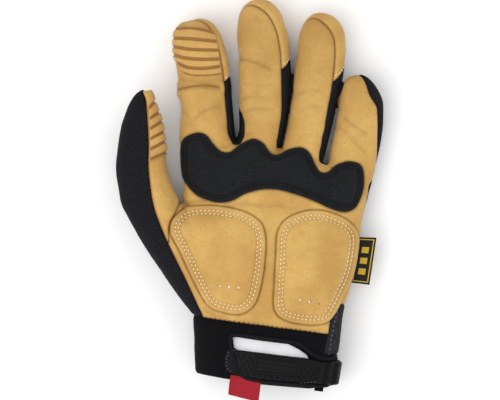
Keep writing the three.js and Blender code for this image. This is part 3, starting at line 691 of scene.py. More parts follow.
fingerGaps = [
    [(-0.17, 0.7), (-0.17, 1.03), (-0.148, 1.127), (-0.155, 1.255), (-0.16, 1.394), (-0.178, 1.617),
     (-0.193, 2.3)],
    [(0.078, 0.7), (0.078, 1.012), (0.107, 1.149), (0.12, 1.238), (0.132, 1.327), (0.14, 1.478),
     (0.13, 2.3)],
    [(0.3, 0.6), (0.3, 0.908), (0.331, 1.06), (0.359, 1.199), (0.3687, 1.294), (0.396, 1.394),
     (0.5, 1.9)],
]
rootLeft = (-0.7, 1.07)
rootRight = (0.8, 0.86)
thumbSeam = [
    (-0.622, 1.45), (-0.6, 1.227), (-0.59, 1.049), (-0.591, 0.892), (-0.57, 0.708),
    (-0.534, 0.586), (-0.478, 0.446), (-0.415, 0.303), (-0.364, 0.178), (-0.3, 0.02), (-0.27, -0.1),
]
thumbCrease = [(-0.431, 0.723), (-0.455, 0.653), (-0.486, 0.58), (-0.492, 0.49)]
sideGusset = [
    (0.6, 0.15), (0.374, 0.145), (0.341, 0.106), (0.328, 0.056), (0.317, -0.017), (0.3, -0.08),
    (0.294, -0.128), (0.6, -0.16),
]
cuffEdge = [(-1, 0.95), (-0.448, 0.952), (0.006, 0.985), (0.345, 0.945), (0.6, 0.79), (1, 0.6)]
windowOutline = [
    (-0.225, 0.17), (-0.031, 0.18), (0.161, 0.175), (0.238, 0.245), (0.345, 0.391), (-0.205, 0.405),
]
join = {"foot": 0.02, "from": -0.12, "to": 0.05, "zone": 0.06, "web": 0.008}
heights = {"palm": 0.015, "thumb": 0.008, "gusset": 0.01, "window": 0.0207, "band": 0.011}


def seamField(digit, co):
    along, side, up = alongDigit(digit, co)
    knots, rolls, levels = np.array(digit["seams"]).T
    roll = np.radians(eased(knots, rolls, along))
    level = eased(knots, levels, along) * digit["depth"] / 2
    return (up - level) * np.cos(roll) - side * np.sin(roll)


def capField(digit, co):
    along, _, up = alongDigit(digit, co)
    lean = math.radians(digit["cap"][1])
    beyond = (along - digit["cap"][0]) * digit["length"]
    return beyond * math.cos(lean) + (up - digit["depth"] / 4) * math.sin(lean)


def panelFields(co):
    xy, z = co[:, :2], co[:, 2]
    gaps = [-toLine(onHand(line), xy) for line in fingerGaps]
    palmTop = z - heights["palm"]
    feet = [onHand([rootLeft])[0]]
    for i, digit in enumerate(fingers):
        feet.append(digitRoot(digit) + join["foot"] * digit["length"] * digitWays(digit)[0])
        if i < 3:
            feet.append(onHand([fingerGaps[i][1]])[0])
    feet.append(onHand([rootRight])[0])
    palmZone = -toLine(np.array(feet), xy)
    front = np.minimum(palmTop, palmZone)
    seams, ways, caps = [], [], []
    for i, digit in enumerate(fingers):
        along, side, _ = alongDigit(digit, co)
        near = smoothstep(join["from"], join["to"], along)
        seams.append(palmTop * (1 - near) + seamField(digit, co) * near)
        ways.append((along, side))
        zone = (along + join["zone"]) * digit["length"]
        if i > 0:
            zone = np.minimum(zone, gaps[i - 1])
        if i < 3:
            zone = np.minimum(zone, -gaps[i])
        front = np.maximum(front, np.minimum(seams[i], zone))
        caps.append(np.minimum(capField(digit, co), zone))
    bands = []
    for i in range(3):
        level = np.where(gaps[i] < 0, seams[i], seams[i + 1]) + heights["band"]
        low = np.where(gaps[i] < 0, ways[i][0], ways[i + 1][0]) * fingers[i]["length"] + join["web"]
        bands.append(np.minimum.reduce((ways[i][1], -ways[i + 1][1], level, low)))
    thumb = toLine(smoothLine(onHand(thumbSeam)), xy)
    crease = smoothLine(onHand(thumbCrease))[::-1]
    around = onHand([(-0.47, 1.5), (-1.3, 1.5), (-1.3, 0.49)])
    thumbZone = within(np.vstack((crease, around)), xy)
    lean = math.radians(cuff["lean"])
    out = xy - hand["wrist"]
    wrist = out @ (math.sin(lean), math.cos(lean)) + cuff["seam"] * cuff["height"]
    edge = toLine(onCuff(cuffEdge), xy)
    side = np.minimum.reduce((within(onHand(sideGusset), xy), z - heights["gusset"], edge))
    window = np.minimum(within(onCuff(windowOutline), xy), z - heights["window"])
    thumbTop = np.minimum.reduce((thumb, thumbZone, z - heights["thumb"]))
    capAny = np.maximum.reduce(caps[:3])
    fields = {
        "palm_panel": np.minimum.reduce((front, thumb, -thumbZone, wrist, -side)),
        "thumb_front": np.minimum(thumbTop, wrist),
        "thumb_back": np.minimum(-thumb, wrist),
        "side_gusset": side,
        "cuff_band": np.minimum.reduce((-wrist, edge, -window, -side)),
        "back_panel": np.minimum.reduce(
            (-front, thumb, wrist, -side, -thumbTop, -capAny, *(-band for band in bands))
        ),
    }
    for i, name in enumerate(("index_middle", "middle_ring", "ring_little")):
        fields["gusset_" + name] = np.minimum.reduce((-front, bands[i], -capAny))
    for i, name in enumerate(("index", "middle", "ring")):
        fields[name + "_cap"] = np.minimum(-front, caps[i])
    return fields


folds = [  # lines in pixels of the photo, with depth and width in mm, and where set the strength of the shade painted along the fold
    ([(176, 90), (181, 89), (192, 87), (207, 86), (219.5, 87.7)], 1.4, 1.4, 0.75),
    ([(195.7, 118), (203, 112), (212, 108.5), (221, 107)], 0.6, 2.2),
    ([(178, 108), (186, 114), (192, 122)], 0.3, 2.5),
    ([(238, 59), (247, 61), (258, 64), (270, 70)], 0.7, 2),
    ([(241, 100), (252, 97), (266, 99)], 0.3, 2.5),
    ([(243, 113), (256, 109), (272, 110)], 0.4, 2.5),
    ([(297, 95), (310, 91), (322, 92)], 0.3, 2.5),
    ([(300, 112), (312, 107), (322, 108)], 0.3, 3),
    ([(344.6, 119), (353, 126), (366, 134)], 0.6, 1.8),
    ([(340, 128), (352, 140), (364, 152)], 0.4, 2.5),
    ([(186, 203.5), (194, 201.5), (203, 200.5)], 0.6, 1.6),
    ([(226, 207), (244, 203), (262, 206), (282, 205)], 0.4, 3),
    ([(268, 214), (270, 240), (269.5, 270), (267, 300), (262, 318)], 0.6, 6, 0),
    ([(182, 79), (200, 82.5), (222, 81)], 0.5, 2, 0.1),
    ([(243, 84), (256, 87), (270, 85)], 0.3, 2.2, 0.1),
    ([(299, 138), (309, 135), (320, 137)], 0.4, 2.5, 0.1),
    ([(283, 327), (300, 329), (320, 329)], 0.6, 2, 0.2),
    ([(240, 320), (256, 322), (272, 327)], 0.4, 1.8, 0.15),
    ([(228, 128), (240, 136), (250, 134)], 0.4, 2.2, 0.15),
    ([(366, 150), (364, 175), (368, 200)], 0.5, 3, 0.1),
    ([(182.4, 200.4), (184, 203), (187, 206.5)], 0.6, 1.2),
    ([(205, 309), (214, 314), (228, 317)], 0.4, 2),
]
knuckleOutline = [
    (-0.432, 0.948), (-0.43, 1.032), (-0.407, 1.076), (-0.346, 1.099), (-0.3, 1.082),
    (-0.265, 1.032), (-0.224, 0.993), (-0.178, 0.993), (-0.132, 1.032), (-0.068, 1.065),
    (-0.015, 1.04), (0.02, 0.987), (0.061, 0.976), (0.117, 1.007), (0.178, 1.017),
    (0.221, 0.986), (0.249, 0.92), (0.275, 0.88), (0.315, 0.881), (0.361, 0.922),
    (0.427, 0.94), (0.483, 0.915), (0.497, 0.831), (0.483, 0.747), (0.448, 0.678),
    (0.392, 0.659), (0.326, 0.678), (0.244, 0.719), (0.153, 0.756), (0.061, 0.782),
    (-0.02, 0.784), (-0.102, 0.761), (-0.173, 0.722), (-0.234, 0.711), (-0.295, 0.724),
    (-0.356, 0.756), (-0.407, 0.82), (-0.43, 0.887),
]
thenarOutline = [
    (-0.484, 0.577), (-0.466, 0.627), (-0.404, 0.682), (-0.305, 0.695), (-0.214, 0.687),
    (-0.112, 0.661), (-0.031, 0.605), (-0.004, 0.522), (-0.005, 0.413), (-0.02, 0.279),
    (-0.054, 0.156), (-0.122, 0.097), (-0.214, 0.104), (-0.295, 0.147), (-0.371, 0.29),
    (-0.438, 0.446), (-0.476, 0.524),
]
hypothenarOutline = [
    (0.038, 0.139), (0.041, 0.257), (0.049, 0.413), (0.056, 0.535), (0.092, 0.611),
    (0.168, 0.655), (0.256, 0.669), (0.346, 0.648), (0.427, 0.598), (0.466, 0.524),
    (0.46, 0.413), (0.435, 0.296), (0.392, 0.195), (0.346, 0.095), (0.3, 0.045),
    (0.224, 0.035), (0.127, 0.05), (0.066, 0.081),
]
padLines = [smoothLine(onHand(o), True) for o in (knuckleOutline, thenarOutline, hypothenarOutline)]
# folds: the lip is relief, and the tint with its width is shade painted along each fold
crease = {"lip": 0.35, "lipAt": 2.2, "tint": 0.45, "shadeMark": 0.45, "facing": (-0.1, 0.35)}
wall = {
    "leather": 0.0012, "elastic": 0.0018, "sunk": 0.0009, "valley": 0.0011, "puff": 0.0003,
    "slope": 0.005, "seam": 0.00055, "tint": 0.85, "ground": 0.0001,
}
fingerShade = {"tint": 0.14, "from": 1.05, "to": 1.5}  # painted shade: the leather darkened towards the fingertips
dent = {  # what a pad does to the leather under it: a dent, and shade painted along the pad's edge
    "deep": 0.0009, "edge": (-0.0012, 0.0004), "facing": 0.2, "tint": 0.4, "out": 0.0002,
    "wide": 0.0006,
}

panels = {}
fields = panelFields(skin[:, :3])
for name, field in fields.items():
    panels[name] = clip(skin, skinFaces, field)
seamPoints = np.vstack([points[fresh][:, :3] for points, _, fresh in panels.values()])
seamTree = kdtree.KDTree(len(seamPoints))
for i, spot in enumerate(seamPoints):
    seamTree.insert(spot, i)
seamTree.balance()


def foldRise(co, normal):
    rise = np.zeros(len(co))
    dark = np.zeros(len(co))
    facing = smoothstep(*crease["facing"], normal[:, 2])
    for points, deep, wide, *tint in folds:
        line = smoothLine(onPhoto(points))
        low, high = line.min(0) - nearby, line.max(0) + nearby
        near = np.flatnonzero(((co[:, :2] > low) & (co[:, :2] < high)).all(1))
        gap = np.abs(toLine(line, co[near, :2])) * 1000 / wide
        lip = crease["lip"] * bell(gap - crease["lipAt"], 1)
        rise[near] += (lip - bell(gap, 1)) * facing[near] * deep / 1000
        # painted shade along the hollow of each fold
        shadeMark = tint[0] if tint else crease["tint"] * deep
        dark[near] += shadeMark * bell(gap, crease["shadeMark"]) * facing[near]
    return rise, dark


def panelPiece(name, material):
    soft = name in ("palm_panel", "thumb_front")
    thick = wall["elastic" if name == "cuff_band" else "leather"]
    points, faces, _ = panels[name]
    co, normal = points[:, :3], outward(points)
    gap = np.array([seamTree.find(spot)[2] for spot in co])
    rise = wall["puff"] * (1 - bell(gap, wall["slope"])) - wall["sunk"] * bell(gap, wall["valley"])
    dark = wall["tint"] * bell(gap, wall["seam"])
    if soft:
        more, tint = foldRise(co, normal)
        rise += more
        # painted shade: the folds' tint, and a darkening towards the fingertips
        share = (co[:, 1] - hand["wrist"][1]) / hand["length"]
        dark += tint + fingerShade["tint"] * smoothstep(fingerShade["from"], fingerShade["to"], share)
        facing = normal[:, 2] > dent["facing"]
        for outline in padLines:
            edge = within(outline, co[:, :2])
            rise -= dent["deep"] * smoothstep(*dent["edge"], edge) * facing
            # painted shade on the leather just outside each pad's edge
            dark += dent["tint"] * bell(edge + dent["out"], dent["wide"]) * facing
    co = co + normal * rise[:, None]
    co[:, 2] = np.maximum(co[:, 2], wall["ground"])
    piece = meshPiece(name + "_cloth", co, faces, np.clip(dark, 0, 1))
    applied(piece, "SOLIDIFY", thickness=thick, offset=-1)
    return settled(piece, material, name)


made = {}
for material, slot, names in (
    (tan, "tan_leather", ("palm_panel", "thumb_front", "index_cap", "middle_cap", "ring_cap")),
    (knit, "black_knit", ("back_panel", "thumb_back")),
    (stretch, "black_stretch", ("gusset_index_middle", "gusset_middle_ring", "gusset_ring_little")),
    (grey, "grey_cloth", ("side_gusset",)),
    (elastic, "black_elastic", ("cuff_band",)),
):
    for name in names:
        made[name] = panelPiece(name, material)
print("panels:", len(made))


# Pieces laid on the form

def bridged(name, co, faces, steps):  # stretched over the creases of the form, as foam lies
    ends = np.vstack((faces[:, [0, 1]], faces[:, [1, 2]], faces[:, [2, 0]]))
    ends = np.vstack((ends, ends[:, ::-1]))
    count = np.bincount(ends[:, 0], minlength=len(co))
    co = co.copy()
    for _ in range(steps):
        mean = np.column_stack([np.bincount(ends[:, 0], co[ends[:, 1], k]) / count for k in range(3)])
        co[:, :2] += (mean[:, :2] - co[:, :2]) * padding["ease"]
        co[:, 2] = np.maximum(co[:, 2], mean[:, 2])
    patch = meshPiece(name, co, faces)
    applied(patch, "SMOOTH", factor=0.5, iterations=padding["smooth"])
    return taken(patch)


patchEdge = {"wide": 0.01, "deep": 0.006}  # what is taken of the form past an outline


def overlay(name, outline, rise, low, thick=0.0009, finer=1, holes=(), calm=0, kept=1):
    xy = skin[:, :2]
    near = (within(outline, xy) > -patchEdge["wide"]) & (skin[:, 2] > low - patchEdge["deep"])
    points, faces, _ = compact(skin, skinFaces[near[skinFaces].all(1)])
    if calm:
        points, faces = bridged(name, points[:, :3], faces, calm)
    for _ in range(finer):
        points, faces = refined(points, faces)
    field = np.minimum(within(outline, points[:, :2]), points[:, 2] - low)
    for centre, radius in holes:
        field = np.minimum(field, np.hypot(*(points[:, :2] - centre).T) - radius)
    points, faces, _ = clip(points, faces, field)
    co, normal = points[:, :3], outward(points)
    edge = np.minimum(within(outline, co[:, :2]), co[:, 2] - low)
    up, dark = rise(co, edge)
    piece = meshPiece(name, co + normal * up[:, None], faces, np.clip(dark, 0, 1))
    if kept < 1:
        applied(piece, "DECIMATE", ratio=kept)
    applied(piece, "SOLIDIFY", thickness=thick, offset=-1)
    return piece


def rolled(edge, radius):  # the height of a rounded edge, as a share of it
    return np.sqrt(np.clip(1 - (1 - np.clip(edge / radius, 0, 1)) ** 2, 0, 1))


heel = {
    "flange": 0.0015, "roll": 0.0012, "rows": (0.0029, 0.0049), "crown": 0.0021, "swell": 0.0035,
    "channel": 0.00045,
}
knuckle = {
    "flange": 0.0012, "roll": 0.001, "rows": (0.0023, 0.0038), "crown": 0.0011, "swell": 0.003,
    "channel": 0.0007,
}
padding = {
    "thick": 0.0016, "calm": 150, "kept": 0.45, "fill": 0.7, "rim": 0.0004, "rimShade": 0.2,
    "groove": 0.0006, "shadeMark": 0.0005, "tint": 700, "ease": 0.1, "smooth": 12,
}
perforation = {
    "radius": 0.0009, "pitch": 0.0053, "lining": 0.0004, "deep": 0.00035, "sides": 16,
    "under": 0.0003, "over": 0.05,
}


def padRise(sizes):
    def rise(co, edge):
        inner = sizes["rows"][-1]
        up = sizes["flange"] * rolled(edge, sizes["roll"])
        up += sizes["crown"] * (1 - np.exp(-np.maximum(edge - inner, 0) / sizes["swell"]))
        # painted shade at the foot of the pad's rolled edge
        dark = padding["rimShade"] * bell(edge, padding["rim"])
        for row in sizes["rows"]:
            up -= sizes["channel"] * bell(edge - row, padding["groove"])
            # painted shade in each stitch channel
            dark += sizes["channel"] * padding["tint"] * bell(edge - row, padding["shadeMark"])
        return up, dark
    return rise


def holeRow(middle, lean, shares):
    centre = onHand([middle])[0]
    turn = math.radians(lean)
    way = perforation["pitch"] * np.array((math.cos(turn), -math.sin(turn)))
    return [
        (centre + step * way, size * perforation["radius"])
        for step, size in enumerate(shares, -2)
    ]


stitches = {  # length, pitch and thickness of a thread
    "pad": (0.0017, 0.0024, 0.00036), "gusset": (0.0016, 0.0026, 0.00036),
    "strap": (0.0011, 0.0019, 0.00025), "wrist": (0.0016, 0.0027, 0.00032),
    "cap": (0.0017, 0.0026, 0.0004),
}
threadForm = {"sides": 8, "rings": 6, "blunt": 0.8, "flat": 0.8, "lift": 0.0001}


def stitchRow(name, kind, lines, tree, material, closed=False):  # the wrist's lie across
    length, pitch, thick = stitches[kind]
    deselect()
    bpy.ops.mesh.primitive_uv_sphere_add(
        segments=threadForm["sides"], ring_count=threadForm["rings"], radius=1
    )
    pattern = bpy.context.object
    bead = meshPoints(pattern)
    quads = [list(face.vertices) for face in pattern.data.polygons]
    bpy.data.objects.remove(pattern)
    bead = np.sign(bead) * np.abs(bead) ** (threadForm["blunt"], 1, 1)
    bead *= (length / 2, thick, thick * threadForm["flat"])
    co, faces = [], []
    for line in lines:
        steps = spaced(line, pitch, closed)
        ahead = np.roll(steps, -1, axis=0) - np.roll(steps, 1, axis=0)
        if not closed:
            ahead[0], ahead[-1] = steps[1] - steps[0], steps[-1] - steps[-2]
        for place, way in zip(steps, ahead):
            if len(place) == 3:
                spot, normal, _, _ = tree.find_nearest(Vector(place))
            else:
                spot, normal = dropped(tree, place)
            if spot is None:
                continue
            way = Vector((*way, 0)) if len(way) == 2 else Vector(way)
            way = (way - normal * way.dot(normal)).normalized()
            side = normal.cross(way)
            if kind == "wrist":
                way, side = side, -way
            turn = np.array((way, side, normal))
            faces.extend([[len(co) * len(bead) + i for i in face] for face in quads])
            co.append(bead @ turn + np.array(spot + normal * threadForm["lift"]))
    return settled(listedPiece(name, co, faces), material)


def liners(name, holes, tree):  # the pale lining seen in each hole
    sides = perforation["sides"]
    turns = np.linspace(0, 2 * math.pi, sides, endpoint=False)
    co, faces = [], []
    for centre, radius in holes:
        rim = tree.find_nearest(Vector((*centre, perforation["over"])))[0]
        ring = np.column_stack((np.cos(turns), np.sin(turns))) * (radius + perforation["under"])
        level = tree.find_nearest(Vector((*centre, rim.z)))[0].z - perforation["deep"]
        faces.append(list(range(len(co) * sides, (len(co) + 1) * sides)))
        co.append(np.column_stack((ring + centre, np.full(sides, level))))
    piece = listedPiece(name, co, faces, smooth=False)
    applied(piece, "SOLIDIFY", thickness=perforation["lining"], offset=-1)
    settled(piece, pink)


thenarHoles = holeRow((-0.184, 0.2435), 5, (0.4, 0.8, 1, 0.8, 0.4))
hypothenarHoles = holeRow((0.2125, 0.161), 13, (0.4, 0.9, 1, 0.6))
for name, line, sizes, material, slot, holes, threads in (
    ("knuckle_pad", padLines[0], knuckle, napped, "black_suede", [], dark),
    ("thenar_pad", padLines[1], heel, tan, "tan_leather", thenarHoles, cream),
    ("hypothenar_pad", padLines[2], heel, tan, "tan_leather", hypothenarHoles, cream),
):
    piece = overlay(
        name + "_cushion", line, padRise(sizes), hand["depth"] / 4, thick=padding["thick"],
        holes=holes, calm=padding["calm"], kept=padding["kept"],
    )
    settled(piece, material, name)
    tree = surfaceOf(piece)
    rows = [shifted(line, row) for row in sizes["rows"]]
    stitchRow(name + "_stitches", "pad", rows, tree, threads, closed=True)
    made[name] = piece
    if holes:
        liners(name + "_perforations", holes, tree)
print("pads made")

# Ribs on the tip of the index finger and along the thumb
indexRibs = {
    "outline": [
        (165, 29.5), (178, 28), (192, 27.5), (205, 29), (214, 32.5), (217, 42), (218.6, 51),
        (219.6, 59.5), (220.4, 67), (222.2, 75.2), (207.4, 77.4), (192, 76.8), (184.5, 74),
        (178.5, 65), (173, 56), (165, 51),
    ],
    "grooves": [
        [(165, 30), (178, 29.7), (192, 29.2), (204, 31), (214.7, 34)],
        [(165, 38), (174.7, 38.6), (195, 40), (217, 42.3)],
        [(165, 46.5), (175, 47), (192, 50), (218.6, 51)],
        [(165, 53), (175, 54.7), (185.6, 58.3), (201.4, 59.8), (219.5, 59.5)],
        [(172, 61), (179.5, 63.5), (189, 67.7), (204, 68.9), (220, 66.8)],
        [(180, 72), (185, 73.6), (192, 76.2), (207.4, 76.8), (222.3, 74.7)],
    ],
    "high": 0.0008, "wide": 0.0012, "fade": 0.0008, "low": 0.012,
}
thumbRibs = {
    "outline": [
        (144, 93), (147.2, 101), (149.3, 111), (150.3, 121), (150.5, 142), (150.2, 163), (175, 151),
        (175, 86),
    ],
    "grooves": [
        [(149, 109.4), (154, 103), (165, 89)], [(150.5, 119.2), (157.4, 114), (170, 104)],
        [(150, 129.7), (161, 122), (175, 112)], [(150, 139.8), (162.6, 132.4), (176, 124.5)],
        [(150, 150), (164, 142), (177, 134.5)], [(150.3, 159.7), (165.6, 152.3), (178, 146)],
    ],
    "high": 0.001, "wide": 0.0011, "fade": 0.0006, "low": 0.016,
}
ribs = {
    "base": 0.0005, "flank": (0.3, 1.1), "shadeMark": (0.6, 0.95), "tint": 0.95, "rim": 0.0004,
    "step": 0.002, "kept": 0.3,
}


def ribRise(sizes):
    lines = [smoothLine(onPhoto(line), step=0.0015) for line in sizes["grooves"]]

    def rise(co, edge):
        gap = np.min([np.abs(toLine(line, co[:, :2])) for line in lines], axis=0)
        swell = smoothstep(0, sizes["fade"], edge)
        up = ribs["base"] + sizes["high"] * smoothstep(*ribs["flank"], gap / sizes["wide"]) * swell
        # painted shade in the grooves between the ribs
        dark = ribs["tint"] * (1 - smoothstep(*ribs["shadeMark"], gap / sizes["wide"]))
        return up, dark * smoothstep(0, ribs["rim"], edge)
    return rise


for name, sizes in (("index_ribs", indexRibs), ("thumb_ribs", thumbRibs)):
    line = spaced(onPhoto(sizes["outline"]), ribs["step"], True)
    piece = overlay(name, line, ribRise(sizes), sizes["low"], finer=2, kept=ribs["kept"])
    settled(piece, tanRibs)
    made[name] = piece
print("ribs made")

# The cuff: binding, strap and trim
pipingRoute = [
    (0.5, 0.27), (0.46, 0.35), (0.408, 0.375), (0.336, 0.314), (0.268, 0.206), (0.187, 0.131),
    (-0.035, 0.135), (-0.175, 0.134), (-0.232, 0.18), (-0.223, 0.362), (-0.192, 0.559),
    (-0.159, 0.774), (-0.118, 0.872), (-0.053, 0.92), (0.073, 0.923), (0.281, 0.9), (0.47, 0.862),
]
strapOutline = [
    (-0.193, 0.42), (-0.022, 0.414), (0.2, 0.408), (0.332, 0.406), (0.4, 0.42), (0.47, 0.4),
    (0.6, 0.3), (0.7, 0.2), (0.72, 0.5), (0.7, 0.8), (0.6, 0.825), (0.492, 0.84), (0.3, 0.862),
    (0.071, 0.89), (-0.069, 0.89), (-0.134, 0.84), (-0.165, 0.7), (-0.18, 0.56),
]
endOutline = [
    (-0.19, 0.385), (-0.236, 0.4), (-0.256, 0.5), (-0.258, 0.62), (-0.25, 0.74), (-0.236, 0.81),
    (-0.19, 0.87), (-0.12, 0.885), (-0.15, 0.774), (-0.17, 0.559),
]
patchOutline = [
    (-0.051, 0.45), (0.1, 0.445), (0.258, 0.44), (0.256, 0.6), (0.255, 0.76), (0.1, 0.775),
    (-0.053, 0.79), (-0.052, 0.62),
]
strap = {
    "thick": 0.0018, "roll": 0.0009, "bars": (0.4, 0.45, 0.5), "rise": 0.0014, "bar": 0.0011,
    "lean": 0.012, "flank": (0.7, 1), "ends": 0.0015, "plain": (0.0012, 0.0018), "dimpled": 0.37,
    "low": 0.2,
}
patch = {
    "thick": 0.001, "roll": 0.0004, "rim": 0.0011, "field": 0.0005, "lines": 4, "line": 0.00025,
    "top": 0.45, "high": 0.33,
}
end = {"thick": 0.0012, "roll": 0.0008, "row": 0.0014, "channel": 0.0004, "sewn": -0.2}


def cuffPlace(xy):  # shares across and down the cuff
    lean = math.radians(cuff["lean"])
    out = xy - hand["wrist"]
    across = out @ (math.cos(lean), -math.sin(lean)) / cuff["width"]
    return across, out @ (-math.sin(lean), -math.cos(lean)) / cuff["height"]


def strapRise(co, edge):
    across, down = cuffPlace(co[:, :2])
    up = strap["thick"] * rolled(edge, strap["roll"])
    bare = smoothstep(*strap["plain"], edge) * (across < strap["dimpled"])
    for bar in strap["bars"]:
        gap = np.abs(across - bar + (down - 0.5) * strap["lean"]) * cuff["width"] / strap["bar"]
        high = (1 - smoothstep(*strap["flank"], gap)) * smoothstep(0, strap["ends"], edge)
        up += strap["rise"] * high
    return up, bare


def patchRise(co, edge):
    _, down = cuffPlace(co[:, :2])
    up = strap["thick"] + patch["thick"] * rolled(edge, patch["roll"])
    inside = smoothstep(patch["rim"], patch["rim"] + patch["roll"], edge)
    turn = (down - patch["top"]) / patch["high"] * patch["lines"] * 2 * math.pi
    wave = 0.5 - 0.5 * np.cos(turn)
    return up - inside * (patch["field"] + patch["line"] * wave), np.zeros(len(co))


def endRise(co, edge):
    up = end["thick"] * rolled(edge, end["roll"])
    return up - end["channel"] * bell(edge - end["row"], end["channel"]), np.ones(len(co))


strapLine = smoothLine(onCuff(strapOutline), True)
endLine = smoothLine(onCuff(endOutline), True)
patchLine = spaced(onCuff(patchOutline), 0.001, True)
strapLow = cuff["depth"] * strap["low"]
for name, line, rise, low, finer in (
    ("wrist_strap", strapLine, strapRise, strapLow, 1),
    ("strap_end", endLine, endRise, heights["window"], 1),
    ("strap_patch", patchLine, patchRise, heights["window"], 2),
):
    made[name] = overlay(name + "_moulded", line, rise, low, finer=finer)
    settled(made[name], moulded, name)

piping = {
    "width": 0.0023, "height": 0.0021, "lift": 0.0006, "sides": 14, "step": 0.0006, "taper": 3,
    "tip": 0.05,
}


def pipingPiece():
    line = smoothLine(onCuff(pipingRoute), step=piping["step"])
    ways = np.gradient(line, axis=0)
    ways /= np.linalg.norm(ways, axis=1)[:, None]
    piece, share, i = grid("opening_piping_binding", piping["sides"], len(line) - 1)
    turn = share * 2 * math.pi
    hit = [dropped(skinTree, place) for place in line]
    spots = np.array([spot for spot, _ in hit])
    ups = np.array([normal for _, normal in hit])
    sides = np.cross(np.column_stack((ways, np.zeros(len(ways)))), ups)
    ends = np.minimum(np.arange(len(line)), np.arange(len(line))[::-1])
    swell = np.sqrt(np.clip(ends / piping["taper"], piping["tip"], 1))
    wide, high = piping["width"] / 2 * swell, piping["height"] / 2 * swell
    co = spots[i] + sides[i] * (np.cos(turn) * wide[i])[:, None]
    co += ups[i] * (np.sin(turn) * high[i] + piping["lift"])[:, None]
    return settled(shaped(piece, co, sewn=True), binding, "opening_piping")


made["opening_piping"] = pipingPiece()

inner = {"under": 0.0024, "past": 0.003, "thick": 0.0006}


def labelRise(co, edge):
    return np.full(len(co), -inner["under"]), np.zeros(len(co))


def innerLabel():
    line = shifted(onCuff(windowOutline), -inner["past"])
    piece = overlay("inner_label_cloth", line, labelRise, heights["window"], thick=inner["thick"])
    return settled(piece, white, "inner_label")


made["inner_label"] = innerLabel()

tab = {
    "left": -0.2, "right": 0.0105, "top": 0.955, "thick": 0.0009, "reach": (0.74, 0.9),
    "route": [  # below the cuff's edge, and over its surface
        (-0.0031, 0.0002), (-0.0015, 0.0006), (0, 0.0008), (0.005, 0.0009), (0.0095, 0.0007),
        (0.0112, 0.0002), (0.0118, -0.0012), (0.0112, -0.0026), (0.0095, -0.0031), (0.004, -0.0032),
        (-0.004, -0.0032),
    ],
}
band = {"columns": 16, "step": 0.0005, "bevel": 0.0002}
shortTab = {
    "left": 0.395, "right": 0.46, "top": 0.93, "thick": 0.0009, "reach": (1, 1),
    "route": [(-0.008, -0.003), (-0.004, -0.0029), (-0.0012, -0.0028), (0.0013, -0.0028)],
}


def bandOver(name, sizes, material, node):
    route = smoothLine(sizes["route"], step=band["step"])
    piece, share, i = grid(name, band["columns"], len(route) - 1)
    across = sizes["left"] + (sizes["right"] - sizes["left"]) * share
    reach = sizes["reach"][0] + (sizes["reach"][1] - sizes["reach"][0]) * share
    down = sizes["top"] + route[i, 0] * reach / cuff["height"]
    places = onCuff(np.column_stack((across, down)))
    spots = []
    for place, lift in zip(places, route[i, 1]):
        spot, normal = dropped(skinTree, place)
        spots.append(spot + normal * lift)
    shaped(piece, spots)
    applied(piece, "SOLIDIFY", thickness=sizes["thick"], offset=0)
    applied(piece, "BEVEL", width=band["bevel"], segments=2, limit_method="ANGLE")
    return settled(piece, material, node)


made["pull_tab"] = bandOver("pull_tab_webbing", tab, webbing, "pull_tab")
made["cuff_tab"] = bandOver("cuff_tab_webbing", shortTab, elastic, "cuff_tab")

labelCorners = [(0.44, 0.52), (0.562, 0.515), (0.526, 0.252), (0.4, 0.268)]
labelSizes = {
    "rows": 40, "columns": 24, "thick": 0.0006, "wave": 0.0006, "turn": 3.4, "bevel": 0.00015,
}


def sideLabel():
    piece, u, row = grid("side_label_weave", labelSizes["columns"], labelSizes["rows"])
    v = row / labelSizes["rows"]
    topLeft, topRight, lowRight, lowLeft = onHand(labelCorners)
    low = lowLeft + u[:, None] * (lowRight - lowLeft)
    top = topLeft + u[:, None] * (topRight - topLeft)
    xy = low + v[:, None] * (top - low)
    z = heights["palm"] + labelSizes["wave"] * (1 + u * np.sin(v * labelSizes["turn"]))
    shaped(piece, np.column_stack((xy, z)), faced=False)
    applied(piece, "SOLIDIFY", thickness=labelSizes["thick"], offset=0)
    applied(piece, "BEVEL", width=labelSizes["bevel"], segments=2, limit_method="ANGLE")
    return settled(piece, label, "side_label")


made["side_label"] = sideLabel()
print("cuff and trim made")

# Stitches on the cuff, the gusset and the caps
wristStitches = {"from": -0.42, "to": 0.33, "points": 60, "above": 0.004}
capHem = {"wide": 0.0014, "step": 4, "clear": 0.0008}
cuffTree = surfaceOf(made["cuff_band"], made["strap_end"], made["wrist_strap"])
gussetTree = surfaceOf(made["side_gusset"])
palmTree = surfaceOf(made["palm_panel"], made["cuff_band"])
gussetRow = smoothLine(onPhoto([(336.5, 312), (333.5, 322.6), (331, 336), (328.3, 352.4)]))
stitchRow("side_gusset_stitches", "gusset", [gussetRow], gussetTree, ash)
lowSeam = smoothLine(onPhoto([(252, 376.5), (260, 377.9), (278, 379.8), (296.7, 380.8), (314, 380)]))
endSeam = shifted(endLine, end["row"])
endSeam = endSeam[cuffPlace(endSeam)[0] < end["sewn"]]
stitchRow("strap_stitches", "strap", [lowSeam, endSeam], cuffTree, ash)
wristRow = np.linspace(wristStitches["from"], wristStitches["to"], wristStitches["points"])
wristSeam = onCuff([(share, cuff["seam"] - wristStitches["above"]) for share in wristRow])
stitchRow("wrist_seam_stitches", "wrist", [wristSeam], palmTree, dark)


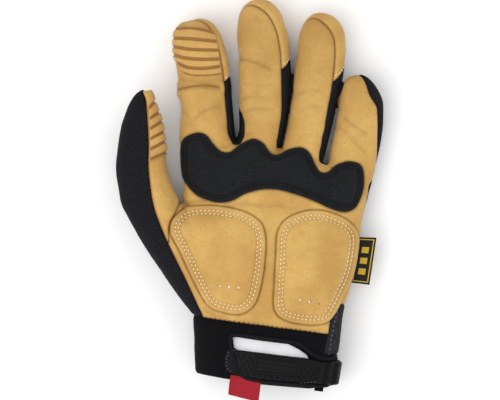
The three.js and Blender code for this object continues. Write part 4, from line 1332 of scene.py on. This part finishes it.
def capRow(digit):  # round the finger along the cap's lower edge, below its seam
    forward, right = digitWays(digit)
    lean = math.radians(digit["cap"][1])
    hem = capHem["wide"] / math.cos(lean) + digit["depth"] / 4 * math.tan(lean)
    along = digit["cap"][0] + hem / digit["length"]
    centre = np.append(
        digitRoot(digit) + along * digit["length"] * forward, axisHeight(digit, along)
    )
    rising = np.array((*(-math.sin(lean) * forward), math.cos(lean)))
    spots = []
    for turn in np.radians(np.arange(0, 360, capHem["step"])):
        way = np.array((*right, 0)) * math.cos(turn) + rising * math.sin(turn)
        spot, _, _, _ = skinTree.ray_cast(Vector(centre), Vector(way))
        if spot is not None:
            spots.append(spot)
    spots = np.array(spots)
    hidden = seamField(digit, spots) < -capHem["clear"]
    start = np.flatnonzero(hidden & ~np.roll(hidden, 1))
    return np.roll(spots, -start[0], axis=0)[: hidden.sum()] if len(start) else spots[hidden]


for name, digit in list(digits.items())[:3]:
    tree = surfaceOf(made[name + "_cap"])
    stitchRow(name + "_cap_stitches", "cap", [capRow(digit)], tree, cream)
print("stitches made")

# Floor, light and camera
deselect()
bpy.ops.mesh.primitive_plane_add(size=6)
floor = bpy.context.object
floor.name = "floor"
floorFinish = Finish("paleFloor", Roughness=0.9, Specular_IOR_Level=0.1)
paper = floorFinish.blend(floorFinish.noise(3, 2), (0.98, 0.98, 0.98, 1), (0.96, 0.96, 0.96, 1))
floorFinish.feed("Base Color", paper)
floor.data.materials.append(floorFinish.material)

world = bpy.data.worlds.new("studio")
world.use_nodes = True
world.node_tree.nodes["Background"].inputs["Color"].default_value = (1, 1, 1, 1)
world.node_tree.nodes["Background"].inputs["Strength"].default_value = 0.7
bpy.context.scene.world = world
bpy.context.scene.view_settings.view_transform = "Standard"

for name, place, size, power in (
    ("keyLight", (-0.4, -0.25, 1.0), 1.2, 8.5),
    ("fillLight", (0.8, 0.1, 0.9), 0.9, 2.5),
):
    lamp = bpy.data.lights.new(name, "AREA")
    lamp.size = size
    lamp.energy = power
    holder = bpy.data.objects.new(name, lamp)
    holder.location = place
    holder.rotation_euler = (-Vector(place)).to_track_quat("-Z", "Y").to_euler()
    bpy.context.scene.collection.objects.link(holder)

view = {"lens": 300, "sensor": 36, "level": 0.015}
middle = onPhoto([photo["middle"]])[0]
lens = bpy.data.cameras.new("camera")
lens.lens = view["lens"]
lens.sensor_width = view["sensor"]
camera = bpy.data.objects.new("camera", lens)
frameWidth = photo["size"][0] * photo["pixel"]
camera.location = (*middle, view["level"] + frameWidth * view["lens"] / view["sensor"])
bpy.context.scene.collection.objects.link(camera)
bpy.context.scene.camera = camera
